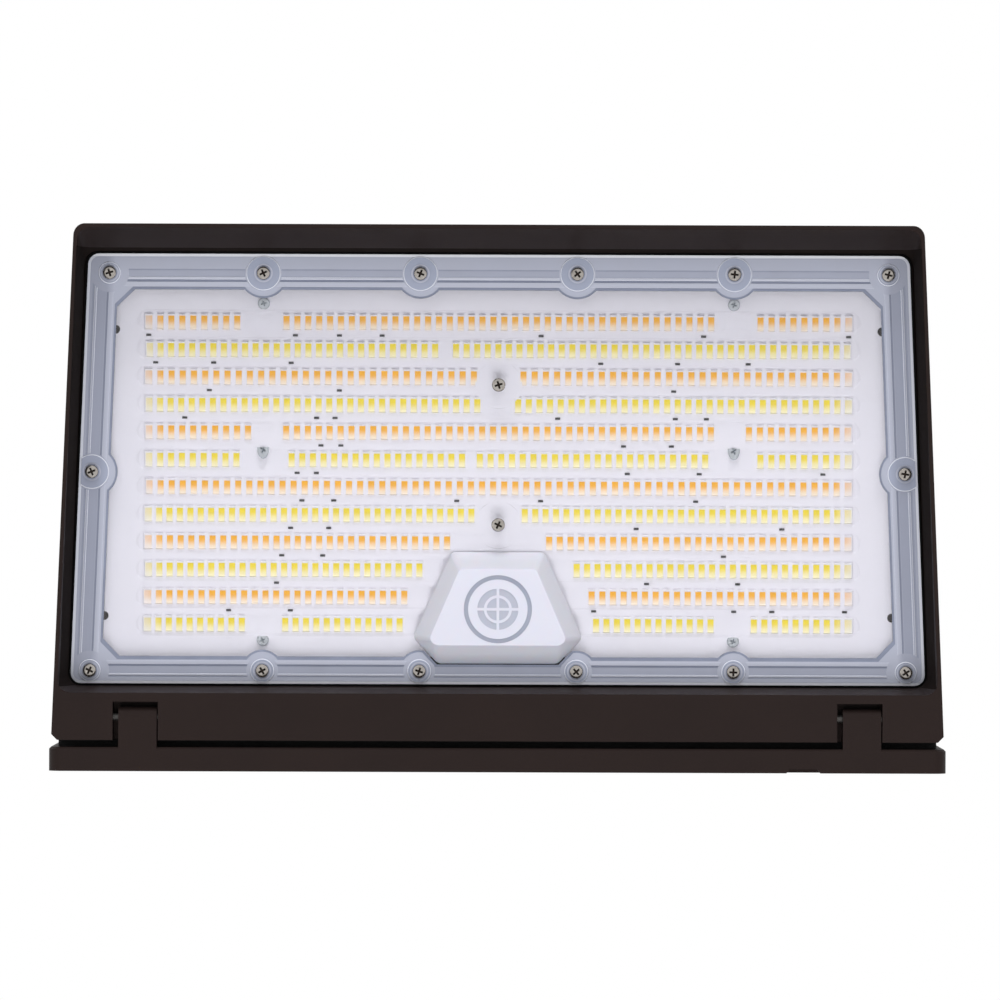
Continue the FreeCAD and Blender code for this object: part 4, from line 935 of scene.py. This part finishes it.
def addBar(name, y, face):
    # a long dome: a sphere pulled apart along X, cut off inside the plate
    half, rise = window["barHeight"] / 2, window["barRise"]
    reach = window["barReach"] - half
    radius = (half * half + rise * rise) / (2 * rise)
    clearSelection()
    bpy.ops.mesh.primitive_uv_sphere_add(
        segments=window["barSides"], ring_count=window["barRings"], radius=radius * mm,
        location=(0, y * mm, (face - rise + radius) * mm), rotation=(0, math.pi / 2, 0))
    bar = bpy.context.object
    bar.name = name
    applyPlace(bar)
    for side in (-1, 1):
        pick(bar, "vertices", lambda v: side * v.co.x > 0)
        bpy.ops.transform.translate(value=(side * reach * mm, 0, 0))
        closeEdit()
    openAll(bar)
    bpy.ops.mesh.bisect(
        plane_co=(0, 0, (face + window["barSink"]) * mm), plane_no=(0, 0, 1), use_fill=True,
        clear_outer=True)
    closeEdit()
    return bar


def makeWindow():
    face, back = lensPlace["windowZ"], lensPlace["backZ"]
    plate = windowOutline("lensWindow", flange["windowEdge"], face, back, flange["bulgeGroove"])
    bars = joined("bars", [
        addBar("bar", rowFrontY + row * rowPitch, face) for row in range(rowCount)])
    bites = [
        addDisc("barBite", x, y, face - 4 * past, face + 2 * past, window["screwBite"])
        for x, y in centreScrews]
    foot = bay["foot"]
    bites.append(addBayBlock(
        "bayBite", foot, foot, face + 2 * past, face - 4 * past, window["bayClear"]))
    combine(bars, bites, "DIFFERENCE")
    combine(plate, [bars], "UNION")
    holes = [addBayBlock("bayHole", foot, foot, face + 6 * past, face - 6 * past)]
    for x, y in centreScrews:
        holes.append(addDisc(
            "screwHole", x, y, face - 4 * past, face + 6 * past, window["screwHole"]))
    combine(plate, holes, "DIFFERENCE")
    return plate


lensWindow = makeWindow()
smooth(lensWindow, degrees=30)
finishPiece(lensWindow, "door", "lens", finishes["lensWindow"], "lens")
print("lens window made:", len(lensWindow.data.polygons), "faces")


# sensor bay: a tapering block with a ring and four facets sunk in its face

def makeBay():
    face = lensPlace["windowZ"] - bay["rise"]
    body = addBayBlock("sensorBay", bay["foot"], bay["face"], lensPlace["backZ"], face)
    bevelEdges(body, lambda a, b: abs(a.z - b.z) > 3 * mm, bay["cornerBevel"], segments=5)
    bevelEdges(body, atHeight(face), bay["faceBevel"], segments=6)
    y = bay["sensorY"]

    def addRound(name, reach, depth, radius, sides):
        return addDisc(name, 0, y, face - reach * past, face + depth, radius, sides)

    ring = addRound("bayRing", 1, bay["ringDepth"], bay["ringOuter"], 64)
    core = addRound("bayCore", 2, 2 * past, bay["ringOuter"] - bay["ringWidth"], 64)
    combine(ring, [core], "DIFFERENCE")
    disc = addRound("bayDisc", 1, bay["facetDepth"], bay["facetRadius"], 48)
    land = addRound("bayLand", 2, 2 * past, bay["facetRing"], 48)
    inner = addRound("bayInner", 3, 3 * past, bay["facetRing"] - bay["facetGap"], 48)
    combine(land, [inner], "DIFFERENCE")
    combine(disc, [land], "DIFFERENCE")
    half, reach = bay["facetGap"] / 2, bay["armReach"]
    for turn in (0, math.pi / 2):
        arm = addBlock(
            "bayArm", (-reach, y - half, face - 2 * past), (reach, y + half, face + 2 * past))
        if turn:
            openAll(arm)
            bpy.ops.transform.rotate(
                value=turn, orient_axis="Z", center_override=(0, y * mm, face * mm))
            closeEdit()
        combine(disc, [arm], "DIFFERENCE")
    combine(body, [ring], "DIFFERENCE")
    combine(body, [disc], "DIFFERENCE")
    return body


sensorBay = makeBay()
smooth(sensorBay, degrees=30)
finishPiece(sensorBay, "door", "lens", finishes["sensorBay"], "lens")
print("sensor bay made")


# screws: a cross-drive pan head for the lens and a smaller one for the board, copied to each place

lensPan = {
    "radius": 2.7, "height": 1.9, "dome": 0.95, "shank": 1.5, "sink": 0.2, "tipZ": -69.0,
    "slot": 1.0, "slotReach": 1.95, "slotDepth": 1.1, "slotTaper": 0.45,
}
boardPan = dict(
    lensPan, radius=2.4, height=1.2, dome=0.6, tipZ=-68.6, slot=0.7, slotReach=1.5, slotDepth=0.8)
screwTurn = {"first": 17, "step": 47}


def makePanHead(name, headZ, size):
    top = headZ - size["height"]
    head = addDisc(name, 0, 0, top, headZ, size["radius"], sides=32)
    bevelEdges(head, atHeight(top), size["dome"], segments=4)
    deepest = top + size["slotDepth"]
    long, wide = size["slotReach"], size["slot"] / 2
    for reach, half in ((wide, long), (long, wide)):
        slot = addBlock("slot", (-reach, -half, top - past / 2), (reach, half, deepest))
        pick(slot, "vertices", lambda v: abs(v.co.z - deepest * mm) < near)
        bpy.ops.transform.resize(value=(size["slotTaper"], size["slotTaper"], 1))
        closeEdit()
        combine(head, [slot], "DIFFERENCE")
    shank = addDisc("shank", 0, 0, headZ - size["sink"], size["tipZ"], size["shank"], sides=16)
    return joined(name, [head, shank])


def setScrews(name, model, places, finish, node):
    # each copy is turned by another angle, as screws are left by hand
    copies = []
    for number, (x, y) in enumerate(places):
        twin = copyAt(model, 0, 0)
        turn = math.radians(screwTurn["first"] + screwTurn["step"] * number)
        openAll(twin)
        bpy.ops.transform.rotate(value=turn, orient_axis="Z", center_override=(0, 0, 0))
        bpy.ops.transform.translate(value=(x * mm, y * mm, 0))
        closeEdit()
        copies.append(twin)
    remove(model)
    screws = joined(name, copies)
    smooth(screws, degrees=35)
    finishPiece(screws, "door", "steel", finishes[finish], node)


edgePlaces = [(x, y) for x, y, kind in edgeScrewPlaces()]
boardPlaces = [(side * boardScrews["sideX"], y) for side in (-1, 1) for y in boardScrews["rows"]]
lensHead = makePanHead("lensHead", lensPlace["seatZ"], lensPan)
centreHead = copyAt(lensHead, 0, 0)
setScrews("lensScrewHeads", lensHead, edgePlaces, "screwCrown", "lens_screws")
setScrews("centreScrewHeads", centreHead, centreScrews, "screwCrown", "centre_screws")
boardHead = makePanHead("boardHead", boardFaceZ, boardPan)
setScrews("boardScrewHeads", boardHead, boardPlaces, "boardCrown", "board_screws")
print("screws placed")


# LEDs: one chip with a recessed phosphor window, copied along the rows

chip = {
    "width": 2.8, "length": 3.5, "height": 0.7, "frame": 0.2, "slope": 0.06, "recess": 0.08,
    "reach": 140.0,
}
ledRows = [  # first and last chip of each group in shares of the reach, and the group's count
    {"white": "warm", "groups": [(-0.999, -0.748, 9), (-0.607, 0.607, 40), (0.748, 0.999, 9)]},
    {"white": "cool", "groups": [(-0.997, -0.182, 28), (-0.122, 0.996, 38)]},
    {"white": "warm", "groups": [(-0.999, -0.071, 30), (0.071, 0.999, 30)]},
    {"white": "cool", "groups": [(-0.998, -0.061, 32), (0.056, 0.999, 32)]},
    {"white": "warm", "groups": [(-0.998, -0.716, 10), (-0.607, 0.607, 40), (0.716, 0.998, 10)]},
    {"white": "cool", "groups": [
        (-0.998, -0.749, 9), (-0.591, -0.104, 17), (-0.053, 0.591, 22), (0.749, 0.999, 9)]},
    {"white": "warm", "groups": [(-0.997, 0.999, 64)]},
    {"white": "cool", "groups": [(-0.999, -0.077, 32), (0.076, 0.999, 32)]},
    {"white": "warm", "groups": [(-0.999, -0.146, 29), (0.146, 0.999, 29)]},
    {"white": "cool", "groups": [(-0.998, -0.225, 27), (0.225, 0.999, 27)]},
    {"white": "warm", "groups": [(-1, -0.268, 25), (0.268, 1, 25)]},
    {"white": "cool", "groups": [
        (-1, -0.732, 10), (-0.608, -0.281, 12), (0.281, 0.608, 12), (0.732, 1, 10)]},
]


def makeChip():
    halfW, halfL = chip["width"] / 2, chip["length"] / 2
    low = boardFaceZ - chip["height"]
    body = addBlock("chip", (-halfW, -halfL, low), (halfW, halfL, boardFaceZ))
    pick(body, "polygons", facesDown)
    bpy.ops.mesh.inset(thickness=chip["frame"] * mm, depth=0)
    bpy.ops.mesh.inset(thickness=chip["slope"] * mm, depth=-chip["recess"] * mm)
    closeEdit()
    layer = body.data.uv_layers.active or body.data.uv_layers.new(name="UVMap")
    for loop in body.data.loops:
        place = body.data.vertices[loop.vertex_index].co
        layer.data[loop.index].uv = (
            place.x / mm / chip["width"] + 0.5, place.y / mm / chip["length"] + 0.5)
    return body


def makeLedRows(name, white, finish, slot, node):
    model = makeChip()
    copies = []
    for i, row in enumerate(ledRows):
        if row["white"] != white:
            continue
        for first, last, count in row["groups"]:
            for k in range(count):
                x = chip["reach"] * (first + (last - first) * k / (count - 1))
                copies.append(copyAt(model, x, rowFrontY + i * rowPitch))
    remove(model)
    leds = joined(name, copies)
    finishPiece(leds, "door", slot, finishes[finish], node)
    print(name, len(copies))


makeLedRows("warmLedChips", "warm", "warmPhosphor", "warm_led", "warm_leds")
makeLedRows("coolLedChips", "cool", "coolPhosphor", "cool_led", "cool_leds")
print("LEDs placed")
